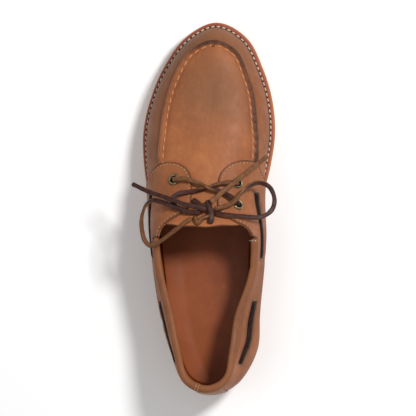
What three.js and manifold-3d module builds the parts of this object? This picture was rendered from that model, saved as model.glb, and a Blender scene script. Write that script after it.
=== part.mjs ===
// A left boat shoe: moccasin-built leather upper on a low rubber sole, with a lace round the collar.
// Millimetres, +Z up, +Y towards the toe, +X towards the inner side of the foot.
// The origin is on the floor, under the middle of the shoe.
import * as THREE from 'three';
import { mergeVertices } from 'three/addons/utils/BufferGeometryUtils.js';
import Module from 'manifold-3d';

const wasm = await Module();
wasm.setup();

// Driving dimensions.
const shoeLength = 300;
const ballWidth = 107.6;
const instepHeight = 80;
const heelHeight = 21;
const forefootHeight = 12.5;
const toeSpring = 9;
const wall = 2.2;
const overlay = 1.6;
const clearance = 0.3;
const midsoleThickness = 4.2;
const insoleThickness = 4;
const rollHeight = 6.4;
const rollWidth = 6.2;
const laceWidth = 3.6;
const laceThickness = 2.5;

// The shoe's sections from heel tip to toe tip. Along is the share of the length from the heel, in percent.
// Lateral, medial and spineX are shares of half the ball width, in percent, at the foot of the upper.
// SpineAlong and crest say where and how high, in percent of the instep, the two sides would close.
// Square is the exponent of the arch. Belly and lean are how far, in mm, each side swells and draws in.
// Welt is how far, in mm, the sole stands out. Top is the height of the topline in percent of the instep.
const sections = [
  { along: 1.4, lateral: 9, medial: 9, spineAlong: 16.7, spineX: 10, crest: 132, square: 3.2,
    bellyL: 2, bellyM: 2, leanL: 0, leanM: 0, welt: 1.2, top: 90 },
  { along: 4, lateral: -28, medial: 44, spineAlong: 17, spineX: 10, crest: 132, square: 3,
    bellyL: 2, bellyM: 2.6, leanL: 0.5, leanM: 4.5, welt: 1.2, top: 88 },
  { along: 12.3, lateral: -49, medial: 66, spineAlong: 18.7, spineX: 9.5, crest: 132, square: 2.6,
    bellyL: 2, bellyM: 6, leanL: 4.5, leanM: 14.5, welt: 1.2, top: 82 },
  { along: 21.3, lateral: -61.5, medial: 69, spineAlong: 23.3, spineX: 7, crest: 132, square: 2.4,
    bellyL: 3.4, bellyM: 6.4, leanL: 7.5, leanM: 15, welt: 1, top: 74.5 },
  { along: 32, lateral: -68.5, medial: 68, spineAlong: 32, spineX: 5, crest: 130, square: 2.6,
    bellyL: 4.4, bellyM: 8.4, leanL: 3, leanM: 1.5, welt: 1, top: 72 },
  { along: 42.7, lateral: -76.2, medial: 70, spineAlong: 42.7, spineX: 4, crest: 107, square: 3.2,
    bellyL: 3, bellyM: 8.6, leanL: 0, leanM: -2.5, welt: 1.6, top: 77.5 },
  { along: 52.7, lateral: -84.6, medial: 76, spineAlong: 52.7, spineX: 3.5, crest: 88, square: 2.6,
    bellyL: 1.5, bellyM: 5, leanL: 0, leanM: 0, welt: 3, top: 90 },
  { along: 62, lateral: -90.5, medial: 86.5, spineAlong: 62, spineX: 4, crest: 77, square: 2.35,
    bellyL: 0.8, bellyM: 1.5, leanL: 0, leanM: 0, welt: 4, top: 120 },
  { along: 70.7, lateral: -91, medial: 92.8, spineAlong: 70, spineX: 6, crest: 69, square: 2.3,
    bellyL: 0.5, bellyM: 0.5, leanL: 0, leanM: 0, welt: 4, top: 120 },
  { along: 79.3, lateral: -80, medial: 88.4, spineAlong: 76, spineX: 9, crest: 64, square: 2.3,
    bellyL: 0.5, bellyM: 0.5, leanL: 0, leanM: 0, welt: 4, top: 120 },
  { along: 87.3, lateral: -60, medial: 74.5, spineAlong: 79.3, spineX: 10.5, crest: 62.2, square: 2.4,
    bellyL: 0.5, bellyM: 0.5, leanL: 0, leanM: 0, welt: 4.3, top: 120 },
  { along: 94.7, lateral: -28.5, medial: 52.5, spineAlong: 80.7, spineX: 11.2, crest: 61.6, square: 2.4,
    bellyL: 0.5, bellyM: 0.5, leanL: 0, leanM: 0, welt: 4.7, top: 120 },
  { along: 98.4, lateral: 13, medial: 13, spineAlong: 81.3, spineX: 11.5, crest: 61.4, square: 2.4,
    bellyL: 0.5, bellyM: 0.5, leanL: 0, leanM: 0, welt: 4.8, top: 120 },
];
const half = sections.length - 1;
const ringCount = 2 * half;

// The sole along the shoe: the floor side in mm, and the top as shares of the heel's rise and the toe spring.
const soleProfile = [
  { along: -5, bottom: 0, heel: 1, spring: 0 },
  { along: 12, bottom: 0, heel: 1, spring: 0 },
  { along: 22, bottom: 0, heel: 0.86, spring: 0 },
  { along: 32, bottom: 4.5, heel: 0.58, spring: 0 },
  { along: 43, bottom: 1.5, heel: 0.22, spring: 0 },
  { along: 52, bottom: 0, heel: 0.06, spring: 0 },
  { along: 62, bottom: 0, heel: 0, spring: 0 },
  { along: 70, bottom: 0, heel: 0, spring: 0.05 },
  { along: 79, bottom: 1.4, heel: 0, spring: 0.2 },
  { along: 88, bottom: 4, heel: 0, spring: 0.48 },
  { along: 95, bottom: 7, heel: 0, spring: 0.8 },
  { along: 101, bottom: 9.6, heel: 0, spring: 1 },
];

// How far in from the foot of the wall, in mm, the apron's seam runs at places round the shoe.
const seamLine = [
  { place: 6.9, inset: 15.8 },
  { place: 7.9, inset: 17.6 },
  { place: 9.3, inset: 14.9 },
  { place: 10.8, inset: 12.4 },
  { place: 12, inset: 15.2 },
  { place: 13.3, inset: 12.6 },
  { place: 14.4, inset: 12 },
  { place: 15.6, inset: 12.8 },
  { place: 17.1, inset: 9.4 },
];

// The height of the lace round the sides, in mm.
const laceLine = [
  { along: 5, height: 57 },
  { along: 9, height: 54 },
  { along: 17, height: 47 },
  { along: 25, height: 44 },
  { along: 37, height: 45 },
  { along: 47, height: 47 },
  { along: 56, height: 46 },
];

function catmullRom(a, b, c, d, f) {
  const square = 2 * a - 5 * b + 4 * c - d;
  const cube = 3 * b - a - 3 * c + d;
  return 0.5 * (2 * b + (c - a) * f + square * f * f + cube * f * f * f);
}

// A column's value at place s round the shoe: 0 is the heel tip, half the toe tip, the lateral side between.
function column(name, s) {
  const i = Math.floor(s);
  const at = (j) => {
    const k = ((j % ringCount) + ringCount) % ringCount;
    const onMedialSide = k > half;
    const row = sections[onMedialSide ? ringCount - k : k];
    if (name === 'x') return onMedialSide ? row.medial : row.lateral;
    if (name === 'belly') return onMedialSide ? row.bellyM : row.bellyL;
    if (name === 'lean') return onMedialSide ? row.leanM : row.leanL;
    return row[name];
  };
  return catmullRom(at(i - 1), at(i), at(i + 1), at(i + 2), s - i);
}

// A column's value at a place of the table's key column, on a cubic that never overshoots a row.
function smoothly(table, key, name, at) {
  let i = 0;
  while (i < table.length - 2 && table[i + 1][key] < at) i += 1;
  const secant = (j) => (table[j + 1][name] - table[j][name]) / (table[j + 1][key] - table[j][key]);
  const slope = (j) => {
    if (j === 0 || j === table.length - 1) return 0;
    const [before, after] = [secant(j - 1), secant(j)];
    return before * after <= 0 ? 0 : (2 * before * after) / (before + after);
  };
  const run = table[i + 1][key] - table[i][key];
  const f = THREE.MathUtils.clamp((at - table[i][key]) / run, 0, 1);
  const [low, high] = [table[i][name], table[i + 1][name]];
  const eased = f * f * (3 - 2 * f);
  const leaving = run * slope(i) * f * (1 - f) * (1 - f);
  const arriving = run * slope(i + 1) * f * f * (1 - f);
  return low + (high - low) * eased + leaving - arriving;
}

function lengthwise(table, name, y) {
  return smoothly(table, 'along', name, 100 * (y / shoeLength + 0.5));
}

const soleBottom = (y) => lengthwise(soleProfile, 'bottom', y);
const soleRise = (y) => (heelHeight - forefootHeight) * lengthwise(soleProfile, 'heel', y);
const soleTop = (y) => forefootHeight + soleRise(y) + toeSpring * lengthwise(soleProfile, 'spring', y);
const topline = (y) => (lengthwise(sections, 'top', y) / 100) * instepHeight;
const placeX = (percent) => (percent / 100) * (ballWidth / 2);
const placeY = (percent) => (percent / 100 - 0.5) * shoeLength;

function planPoint(s) {
  return new THREE.Vector2(placeX(column('x', s)), placeY(column('along', s)));
}

function planNormal(s) {
  const step = 0.02;
  const run = planPoint(s + step).sub(planPoint(s - step)).normalize();
  return new THREE.Vector2(-run.y, run.x);
}

// The upper's form. Grow moves it outwards, and v runs from the foot of the wall, 0, to the crest, 1.
const bellyHeight = 15;
const leanHeight = 45;
const leanPower = 1.5;
const leanLimit = 1.2;
function form(s, v, grow) {
  const normal = planNormal(s);
  const foot = planPoint(s).addScaledVector(normal, grow);
  const spine = new THREE.Vector2(placeX(column('spineX', s)), placeY(column('spineAlong', s)));
  const footZ = soleTop(foot.y) + clearance;
  const rise = (column('crest', s) / 100) * instepHeight + grow - footZ;
  const power = 2 / column('square', s);
  const angle = (v * Math.PI) / 2;
  const reach = Math.pow(Math.max(0, Math.cos(angle)), power);
  const height = rise * Math.pow(Math.sin(angle), power);
  const swell = column('belly', s) * (height / bellyHeight) * Math.exp(1 - height / bellyHeight);
  const draw = column('lean', s) * Math.pow(Math.min(leanLimit, height / leanHeight), leanPower);
  const p = spine.clone().addScaledVector(foot.clone().sub(spine), reach);
  p.addScaledVector(normal, (swell - draw) * reach);
  return new THREE.Vector3(p.x, p.y, footZ + height);
}

// The point of the form at place s whose height is heightAt(y).
function formAtHeight(s, grow, heightAt) {
  let low = 0;
  let high = 1;
  for (let i = 0; i < 24; i += 1) {
    const v = (low + high) / 2;
    const p = form(s, v, grow);
    if (p.z < heightAt(p.y)) low = v;
    else high = v;
  }
  return form(s, low, grow);
}

// The point of the form a plan distance inwards from the foot of the wall, lifted off the surface.
function formInwards(s, inset, lift) {
  const foot = planPoint(s);
  const spine = new THREE.Vector2(placeX(column('spineX', s)), placeY(column('spineAlong', s)));
  const reach = 1 - inset / foot.distanceTo(spine);
  const v = (2 / Math.PI) * Math.acos(Math.pow(reach, column('square', s) / 2));
  return form(s, v, lift);
}

// The point and the normal of the form above a place of the plan, found from a first guess.
function formAbove(x, y, grow, guess) {
  let [s, v] = guess;
  const step = 1e-3;
  for (let i = 0; i < 20; i += 1) {
    const p = form(s, v, grow);
    const ds = form(s + step, v, grow).sub(p).divideScalar(step);
    const dv = form(s, v + step, grow).sub(p).divideScalar(step);
    const det = ds.x * dv.y - dv.x * ds.y;
    s += ((x - p.x) * dv.y - (y - p.y) * dv.x) / det;
    v += ((y - p.y) * ds.x - (x - p.x) * ds.y) / det;
  }
  const point = form(s, v, grow);
  const ds = form(s + step, v, grow).sub(point);
  const dv = form(s, v + step, grow).sub(point);
  const normal = ds.cross(dv).normalize();
  if (normal.z < 0) normal.negate();
  return { point, normal };
}

// A geometry becomes a solid once its shared corners are merged.
function solid(geometry) {
  const bare = geometry.clone();
  bare.deleteAttribute('normal');
  bare.deleteAttribute('uv');
  const merged = mergeVertices(bare, 1e-3);
  const index = merged.index.array;
  const kept = [];
  for (let i = 0; i < index.length; i += 3) {
    const [a, b, c] = [index[i], index[i + 1], index[i + 2]];
    if (a !== b && b !== c && a !== c) kept.push(a, b, c);
  }
  const made = new wasm.Manifold(new wasm.Mesh({
    numProp: 3,
    vertProperties: merged.attributes.position.array,
    triVerts: new Uint32Array(kept),
  }));
  if (made.volume() < 0) throw new Error('a solid is inside out');
  return made;
}

function meshOf(points, faces) {
  const geometry = new THREE.BufferGeometry();
  const numbers = points.flatMap((p) => [p.x, p.y, p.z]);
  geometry.setAttribute('position', new THREE.Float32BufferAttribute(numbers, 3));
  geometry.setIndex(faces);
  return geometry;
}

function quad(faces, a, b, c, d) {
  faces.push(a, b, c, a, c, d);
}

// Rings that close round the shoe, with a bottom and a top ruled from side to side.
function stackOfRings(rings) {
  const count = rings[0].length;
  const faces = [];
  for (let j = 0; j < rings.length - 1; j += 1) {
    for (let i = 0; i < count; i += 1) {
      const next = (i + 1) % count;
      quad(faces, j * count + next, j * count + i, (j + 1) * count + i, (j + 1) * count + next);
    }
  }
  const top = (rings.length - 1) * count;
  for (let i = 0; i < count / 2; i += 1) {
    const across = (count - i) % count;
    quad(faces, i, i + 1, count - i - 1, across);
    quad(faces, top + i + 1, top + i, top + across, top + count - i - 1);
  }
  return solid(meshOf(rings.flat(), faces));
}

// A bar through sections of equal length, with a fan at each end.
function bar(rings) {
  const count = rings[0].length;
  const faces = [];
  for (let j = 0; j < rings.length - 1; j += 1) {
    for (let i = 0; i < count; i += 1) {
      const next = (i + 1) % count;
      quad(faces, j * count + i, j * count + next, (j + 1) * count + next, (j + 1) * count + i);
    }
  }
  const last = (rings.length - 1) * count;
  for (let i = 1; i < count - 1; i += 1) {
    faces.push(0, i + 1, i, last, last + i, last + i + 1);
  }
  return solid(meshOf(rings.flat(), faces));
}

function outline(points) {
  return new THREE.Shape(points.map(([a, b]) => new THREE.Vector2(a, b)));
}

// A prism drawn in the plan, from one height to another.
function planPrism(points, low, high) {
  const geometry = new THREE.ExtrudeGeometry(outline(points), { depth: high - low, bevelEnabled: false });
  return solid(geometry.translate(0, 0, low));
}

// A prism drawn in the side view as along and up, from one side of the shoe to the other.
function sidePrism(points, low, high) {
  const geometry = new THREE.ExtrudeGeometry(outline(points), { depth: high - low, bevelEnabled: false });
  geometry.applyMatrix4(new THREE.Matrix4().makeBasis(
    new THREE.Vector3(0, 1, 0),
    new THREE.Vector3(0, 0, 1),
    new THREE.Vector3(1, 0, 0),
  ));
  return solid(geometry.translate(low, 0, 0));
}

const columnsPerSection = 3;
const levels = [0, 0.07, 0.15, 0.24, 0.34, 0.45, 0.57, 0.7, 0.84, 1];
const places = Array.from({ length: ringCount * columnsPerSection }, (_, i) => i / columnsPerSection);

// The whole form as a solid. Drop carries its foot straight down, to cut through what lies below.
function formSolid(grow, drop = 0) {
  const rings = levels.map((v) => places.map((s) => form(s, v, grow)));
  if (drop > 0) rings.unshift(rings[0].map((p) => new THREE.Vector3(p.x, p.y, p.z - drop)));
  return stackOfRings(rings);
}

// A layer of the sole through rings of out, the distance out from the foot of the upper, and height.
function layer(rings) {
  return stackOfRings(rings.map(({ out, height }) => places.map((s) => {
    const p = planPoint(s).addScaledVector(planNormal(s), out(s));
    return new THREE.Vector3(p.x, p.y, height(p.y));
  })));
}

const weltOut = (share, inset = 0) => (s) => column('welt', s) * share - inset;
const midsoleBottom = (y) => soleTop(y) - midsoleThickness;
const cutDepth = 8;
const aboveShoe = 200;
const belowShoe = -20;

// The outsole: its top lies under the midsole and stands out past it, and grooves cross its two treads.
const grooveWidth = 2.6;
const grooveDepth = 2;
const grooveRim = 7;
const treads = [
  { from: -131, to: -88, count: 4 },
  { from: 0, to: 122, count: 9 },
];
function outsole() {
  const top = (y) => midsoleBottom(y) - clearance;
  const body = layer([
    { out: weltOut(1, 1.6), height: soleBottom },
    { out: weltOut(1, 0.3), height: (y) => soleBottom(y) + 1.6 },
    { out: weltOut(1), height: (y) => soleBottom(y) + 3 },
    { out: weltOut(1), height: (y) => top(y) - 0.7 },
    { out: weltOut(1, 0.7), height: top },
  ]);
  const inside = layer([
    { out: weltOut(1, grooveRim), height: (y) => soleBottom(y) - 1 },
    { out: weltOut(1, grooveRim), height: (y) => soleBottom(y) + grooveDepth },
  ]);
  let made = body;
  for (const { from, to, count } of treads) {
    for (let i = 0; i < count; i += 1) {
      const y = from + ((to - from) * i) / (count - 1);
      const groove = new THREE.BoxGeometry(ballWidth * 1.5, grooveWidth, 40).translate(0, y, 0);
      made = made.subtract(solid(groove).intersect(inside));
    }
  }
  return made;
}

function midsole() {
  return layer([
    { out: weltOut(0.5, 0.4), height: midsoleBottom },
    { out: weltOut(0.5), height: (y) => midsoleBottom(y) + 0.6 },
    { out: weltOut(0.5), height: (y) => soleTop(y) - 0.7 },
    { out: weltOut(0.5, 0.6), height: soleTop },
  ]);
}

function insole() {
  const out = () => -wall - 0.4;
  return layer([
    { out, height: (y) => soleTop(y) + clearance },
    { out, height: (y) => soleTop(y) + clearance + insoleThickness },
  ]);
}

// What the collar takes away in the side view: above the roll's seat behind, and above the shell in front.
const rollFront = -23;
const throatBack = 30;
const toplineSteps = 18;
const shellEdgeSteps = 6;
function aboveCollar(front) {
  const points = [];
  const behind = -shoeLength * 0.55;
  const low = rollHeight + clearance;
  for (let i = 0; i <= toplineSteps; i += 1) {
    const y = THREE.MathUtils.lerp(behind, rollFront, i / toplineSteps);
    points.push([y, topline(y) - low]);
  }
  if (front > rollFront) {
    for (let i = 0; i <= shellEdgeSteps; i += 1) {
      const y = THREE.MathUtils.lerp(rollFront, front, i / shellEdgeSteps);
      points.push([y, topline(y)]);
    }
  }
  points.push([front, aboveShoe], [behind, aboveShoe]);
  return sidePrism(points, -ballWidth, ballWidth);
}

// The throat under the tabs, filled by the tongue, in the plan.
const throat = { lateral: -29, medial: 34, front: 31, back: -13, corner: 7, wing: 4, wingFront: 2, low: 40 };
function throatPlan(extra) {
  const { lateral, medial, front, back, corner, wing, wingFront } = throat;
  return [
    [lateral - wing - extra, back - extra],
    [medial + wing + extra, back - extra],
    [medial + wing + extra, wingFront],
    [medial + extra, wingFront + wing],
    [medial + extra, front - corner],
    [medial - corner, front + extra],
    [lateral + corner, front + extra],
    [lateral - extra, front - corner],
    [lateral - extra, wingFront + wing],
    [lateral - wing - extra, wingFront],
  ];
}

// The raised seam round the apron: across is outwards from the stitches, up is off the surface.
const seamSection = [
  { across: -0.2, up: -1.2 },
  { across: 0, up: 0.4 },
  { across: 1.2, up: 1.9 },
  { across: 3.2, up: 1.8 },
  { across: 4.5, up: -0.2 },
  { across: 4.6, up: -1.2 },
];
const seamEnd = 7.05;
const seamInsetAt = (s) => smoothly(seamLine, 'place', 'inset', s);

function seamRidge() {
  const steps = 30;
  const rings = [];
  for (let i = 0; i <= steps; i += 1) {
    const s = THREE.MathUtils.lerp(ringCount - seamEnd, seamEnd, i / steps);
    rings.push(seamSection.map(({ across, up }) => formInwards(s, seamInsetAt(s) - across, up)));
  }
  return bar(rings);
}

// The quarters with their eyelet tabs, in the plan. Behind the tabs the roll's seat cuts their top edge.
const heelTab = { lateral: -5, medial: 16, front: -118 };
const behindHeel = -170;
const besideShoe = 90;
const lateralPlan = [
  [-49, 14], [-46.5, 23], [-42, 31], [-34, 36.4], [-27, 37.2], [-20, 36], [-14, 32.8], [-10.4, 28],
  [-8.6, 22], [-8.8, 6], [-10.6, 0], [-17.5, -4.9], [-26.4, -9.6], [-33.4, -16], [-35.4, rollFront],
  [-9, rollFront], [-9, -60], [heelTab.lateral - clearance, -100],
  [heelTab.lateral - clearance, behindHeel], [-besideShoe, behindHeel], [-besideShoe, 8],
];
const medialPlan = [
  [51, 18], [48.5, 28], [42, 36.5], [36, 38.4], [28.5, 38], [21.5, 35.6], [16, 31], [13.3, 25.5],
  [12.6, 20], [12.8, 0], [15.2, -4.4], [21, -7.6], [28.7, -11.6], [35.2, -15], [39, -19.4],
  [40, rollFront], [12.6, rollFront], [12.6, -60], [heelTab.medial + clearance, -100],
  [heelTab.medial + clearance, behindHeel], [besideShoe, behindHeel], [besideShoe, 10],
];

function upper() {
  const shell = formSolid(0).subtract(formSolid(-wall, cutDepth));
  const throatHole = planPrism(throatPlan(clearance), throat.low, aboveShoe);
  const open = shell.subtract(aboveCollar(throatBack)).subtract(throatHole);
  let ridge = seamRidge();
  for (const plan of [lateralPlan, medialPlan]) {
    const moved = plan.map(([x, y]) => [x, y + 2 * clearance]);
    ridge = ridge.subtract(planPrism(moved, belowShoe, aboveShoe));
  }
  return open.add(ridge);
}

function tongue() {
  const sheet = formSolid(0).subtract(formSolid(-wall + 0.2, cutDepth));
  return sheet.intersect(planPrism(throatPlan(0), throat.low, aboveShoe));
}

const laceWindows = [
  { from: -124, to: -75 },
  { from: -40, to: 12 },
];
const laceHeight = (y) => lengthwise(laceLine, 'height', y);

function windowPrism(from, to) {
  const steps = 6;
  const reach = laceWidth / 2 + 0.6;
  const low = [];
  const high = [];
  for (let i = 0; i <= steps; i += 1) {
    const y = THREE.MathUtils.lerp(from, to, i / steps);
    low.push([y, laceHeight(y) - reach]);
    high.unshift([y, laceHeight(y) + reach]);
  }
  return sidePrism([...low, ...high], -ballWidth, ballWidth);
}

const eyelets = [
  { name: 'eyelet_lateral_front', x: -23.4, y: 22.6, guess: [6.5, 0.6] },
  { name: 'eyelet_lateral_rear', x: -22.8, y: 3.5, guess: [5.9, 0.6] },
  { name: 'eyelet_medial_front', x: 27.4, y: 20, guess: [17.5, 0.6] },
  { name: 'eyelet_medial_rear', x: 28.2, y: 2.8, guess: [18.1, 0.6] },
];
const eyeletHole = 2.75;
const eyeletBarrel = 3.2;
const eyeletFlange = 4.6;
const eyeletSides = 12;
const facingTop = clearance + overlay;

function turnTo(geometry, point, normal) {
  const turn = new THREE.Quaternion().setFromUnitVectors(new THREE.Vector3(0, 0, 1), normal);
  return geometry.applyQuaternion(turn).translate(point.x, point.y, point.z);
}

function eyelet({ x, y, guess }) {
  const profile = [
    [eyeletHole, -overlay], [eyeletBarrel, -overlay], [eyeletBarrel, clearance], [eyeletFlange, clearance],
    [eyeletFlange - 0.4, 1.1], [eyeletHole + 0.8, 1.3], [eyeletHole, 0.7], [eyeletHole, -overlay],
  ].map(([r, z]) => new THREE.Vector2(r, z));
  const geometry = new THREE.LatheGeometry(profile, eyeletSides).rotateX(Math.PI / 2);
  const { point, normal } = formAbove(x, y, facingTop, guess);
  return solid(turnTo(geometry, point, normal));
}

function eyeletHoleCutter({ x, y, guess }) {
  const radius = eyeletBarrel + clearance;
  const geometry = new THREE.CylinderGeometry(radius, radius, 12, eyeletSides);
  const { point, normal } = formAbove(x, y, facingTop, guess);
  return solid(turnTo(geometry.rotateX(Math.PI / 2), point, normal));
}

function quarter(plan) {
  let made = formSolid(facingTop).subtract(formSolid(clearance, cutDepth));
  made = made.intersect(planPrism(plan, belowShoe, aboveShoe));
  made = made.subtract(aboveCollar(rollFront));
  for (const { from, to } of laceWindows) made = made.subtract(windowPrism(from, to));
  for (const place of eyelets) made = made.subtract(eyeletHoleCutter(place));
  return made;
}

function heelTabSolid() {
  const { lateral, medial, front } = heelTab;
  const corners = [[lateral, behindHeel], [medial, behindHeel], [medial, front], [lateral, front]];
  const strip = planPrism(corners, belowShoe, aboveShoe);
  const band = formSolid(facingTop + 0.6).subtract(formSolid(clearance, cutDepth));
  return band.intersect(strip).subtract(aboveCollar(rollFront));
}

// Sections that follow the form from place to place, at a height given along the shoe.
function formBar(from, to, steps, grow, heightAt, width, height, sides) {
  const rings = [];
  for (let i = 0; i <= steps; i += 1) {
    const s = THREE.MathUtils.lerp(from, to, i / steps);
    const ring = [];
    for (let k = 0; k < sides; k += 1) {
      const angle = (2 * Math.PI * (k + 0.5)) / sides;
      const out = (width / 2) * Math.cos(angle);
      const up = (height / 2) * Math.sin(angle);
      ring.push(formAtHeight(s, grow + out, (y) => heightAt(y) + up));
    }
    rings.push(ring);
  }
  return bar(rings);
}

// The place round the shoe whose wall stands at a distance y along it.
function placeAt(isMedial, y) {
  let low = 0.2;
  let high = half - 0.2;
  for (let i = 0; i < 24; i += 1) {
    const s = (low + high) / 2;
    const p = formAtHeight(isMedial ? ringCount - s : s, 0, () => laceHeight(y));
    if (p.y < y) low = s;
    else high = s;
  }
  return low;
}

function collarRoll() {
  const steps = 32;
  const front = rollFront - 2 * clearance;
  const centre = (y) => topline(y) - rollHeight / 2;
  const middle = (facingTop - wall) / 2;
  const ends = [-placeAt(true, front), placeAt(false, front)];
  return formBar(...ends, steps, middle, centre, rollWidth, rollHeight, 8);
}

function sideLace(isMedial, { from, to }) {
  const gap = 4 * clearance;
  const ends = [placeAt(isMedial, from + gap), placeAt(isMedial, to - gap)];
  const [start, end] = isMedial ? [-ends[1], -ends[0]] : ends;
  const middle = clearance + laceThickness / 2;
  const steps = 6;
  return formBar(start, end, steps, middle, laceHeight, laceThickness, laceWidth, 8);
}

// The lace over the throat and its bow, as hand-laid routes.
const laceRoutes = {
  crossUnder: [
    [27.4, 20, 63], [27, 20.1, 66.8], [23.4, 20.4, 69.4], [11.9, 19.1, 69.2], [-0.1, 14.8, 70.6],
    [-12, 12.6, 71.8], [-19.3, 11.3, 72.8], [-22.9, 8, 74.4], [-23, 4.6, 73.6], [-22.8, 3.5, 70.4],
  ],
  crossOver: [
    [-23.4, 22.6, 63.4], [-22.8, 22.8, 67.2], [-18.8, 23.2, 69.6], [-12.5, 23.1, 70], [-3.8, 20, 70.6],
    [5.1, 15.8, 72.4], [12, 13.9, 72], [18.3, 11.3, 72.6], [24.3, 8.4, 73.8], [27.9, 5, 73.4],
    [28.3, 2.7, 69],
  ],
  knotWrap: [
    [4.6, 5.6, 74.6], [6, 1.8, 78], [7.6, -3.4, 80], [8.2, -8.6, 82], [6.8, -12, 82],
  ],
  knotAcross: [
    [-7.2, 6.6, 73.4], [-1, 2.4, 76], [4.6, -1, 77.8], [9.6, -3.2, 78],
  ],
  knotFold: [
    [-5.5, -7, 79.8], [-2.8, -11.8, 82.6], [0.8, -8.4, 81.6], [7.4, -5, 80.4],
  ],
  loopLeft: [
    [-0.8, -3.8, 79.4], [-6, -3.4, 79.2], [-12, -2.8, 78.6], [-19, 0, 77.2], [-27.5, 3, 74.8],
    [-34.4, 5.2, 71.4], [-40.4, 6, 67.8], [-45.9, 1.7, 64.4], [-49.3, -8.4, 62], [-48.9, -18.4, 61.6],
    [-46.6, -26, 62.8], [-42.2, -30, 64.8], [-34.2, -26.8, 69.8], [-18.8, -16, 80.2],
    [-12.4, -11, 81.6], [-8.2, -8.4, 81],
  ],
  endLeft: [
    [3.9, -1.4, 81.2], [-3, 0.4, 81.8], [-12, 2.6, 81], [-23.2, 6.4, 78.6], [-34, 10, 73.6],
    [-43.6, 13.2, 67.6], [-56.7, 19.1, 60],
  ],
  loopRight: [
    [10.8, -4, 78.6], [16.4, -5, 79.3], [22, -5.8, 78.5], [31.7, -6.6, 73.8], [46.6, -7.1, 67.2],
    [54.8, -1.6, 63.4], [56.9, 6.9, 61.8], [53, 16.6, 62.2], [45, 20.2, 65.4], [36.4, 17, 71],
    [30.4, 11.3, 75.8],
    [25.8, 5.4, 78], [18.4, 1.4, 78.4], [10.6, -0.5, 78.9],
  ],
  endRight: [
    [7.6, 4.4, 79.8], [14.5, 11, 77.6], [22.4, 17.4, 74.2], [31, 24.8, 68.4], [40.5, 32.8, 60],
    [50, 40.9, 50.5],
  ],
};
const laceRadius = 1.5;
const laceStep = { tight: 5.5, free: 8 };

function laceAlong(route, step) {
  const path = new THREE.CatmullRomCurve3(route.map(([x, y, z]) => new THREE.Vector3(x, y, z)));
  const steps = Math.round(path.getLength() / step);
  const section = new THREE.Shape();
  const sides = 8;
  for (let k = 0; k < sides; k += 1) {
    const angle = (2 * Math.PI * k) / sides;
    const [x, y] = [laceRadius * Math.cos(angle), laceRadius * Math.sin(angle)];
    if (k === 0) section.moveTo(x, y);
    else section.lineTo(x, y);
  }
  return solid(new THREE.ExtrudeGeometry(section, { steps, extrudePath: path }));
}

function joined(...routes) {
  return routes.map((route) => laceAlong(route, laceStep.tight)).reduce((all, next) => all.add(next));
}

const group = new THREE.Group();
const leather = new THREE.MeshStandardMaterial({ color: 0xa5694a, roughness: 0.6, metalness: 0 });
const darkLeather = new THREE.MeshStandardMaterial({ color: 0x3c2620, roughness: 0.5, metalness: 0 });
const lining = new THREE.MeshStandardMaterial({ color: 0x8a4f30, roughness: 0.6, metalness: 0 });
const redRubber = new THREE.MeshStandardMaterial({ color: 0x8e4a3c, roughness: 0.7, metalness: 0 });
const tanRubber = new THREE.MeshStandardMaterial({ color: 0xa5733c, roughness: 0.7, metalness: 0 });
const brass = new THREE.MeshStandardMaterial({ color: 0x5a5a40, roughness: 0.45, metalness: 0.9 });

function add(name, made, material) {
  const mesh = made.getMesh();
  const geometry = new THREE.BufferGeometry();
  geometry.setAttribute('position', new THREE.BufferAttribute(new Float32Array(mesh.vertProperties), 3));
  geometry.setIndex(new THREE.BufferAttribute(new Uint32Array(mesh.triVerts), 1));
  const node = new THREE.Mesh(geometry, material);
  node.name = name;
  group.add(node);
}

add('outsole', outsole(), tanRubber);
add('midsole', midsole(), redRubber);
add('insole', insole(), lining);
add('upper', upper(), leather);
add('tongue', tongue(), leather);
add('quarter_lateral', quarter(lateralPlan), leather);
add('quarter_medial', quarter(medialPlan), leather);
add('heel_tab', heelTabSolid(), leather);
for (const place of eyelets) add(place.name, eyelet(place), brass);
add('collar_roll', collarRoll(), leather);
for (const [side, isMedial] of [['lateral', false], ['medial', true]]) {
  add(`side_lace_${side}_rear`, sideLace(isMedial, laceWindows[0]), darkLeather);
  add(`side_lace_${side}_front`, sideLace(isMedial, laceWindows[1]), darkLeather);
}
add('lace_cross', joined(laceRoutes.crossUnder, laceRoutes.crossOver), darkLeather);
add('lace_knot', joined(laceRoutes.knotWrap, laceRoutes.knotAcross, laceRoutes.knotFold), darkLeather);
add('lace_loop_left', laceAlong(laceRoutes.loopLeft, laceStep.free), darkLeather);
add('lace_end_left', laceAlong(laceRoutes.endLeft, laceStep.free), darkLeather);
add('lace_loop_right', laceAlong(laceRoutes.loopRight, laceStep.free), darkLeather);
add('lace_end_right', laceAlong(laceRoutes.endRight, laceStep.free), darkLeather);

export default group;
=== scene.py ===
# A left boat shoe: moccasin-built leather upper, low rubber sole, rawhide lace tied in a bow.
# Metres, +Z up, +Y towards the toe, +X towards the inner side of the foot.
import math

import bmesh
import bpy
import numpy as np
from mathutils import Matrix, Vector, geometry
from mathutils.bvhtree import BVHTree


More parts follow.
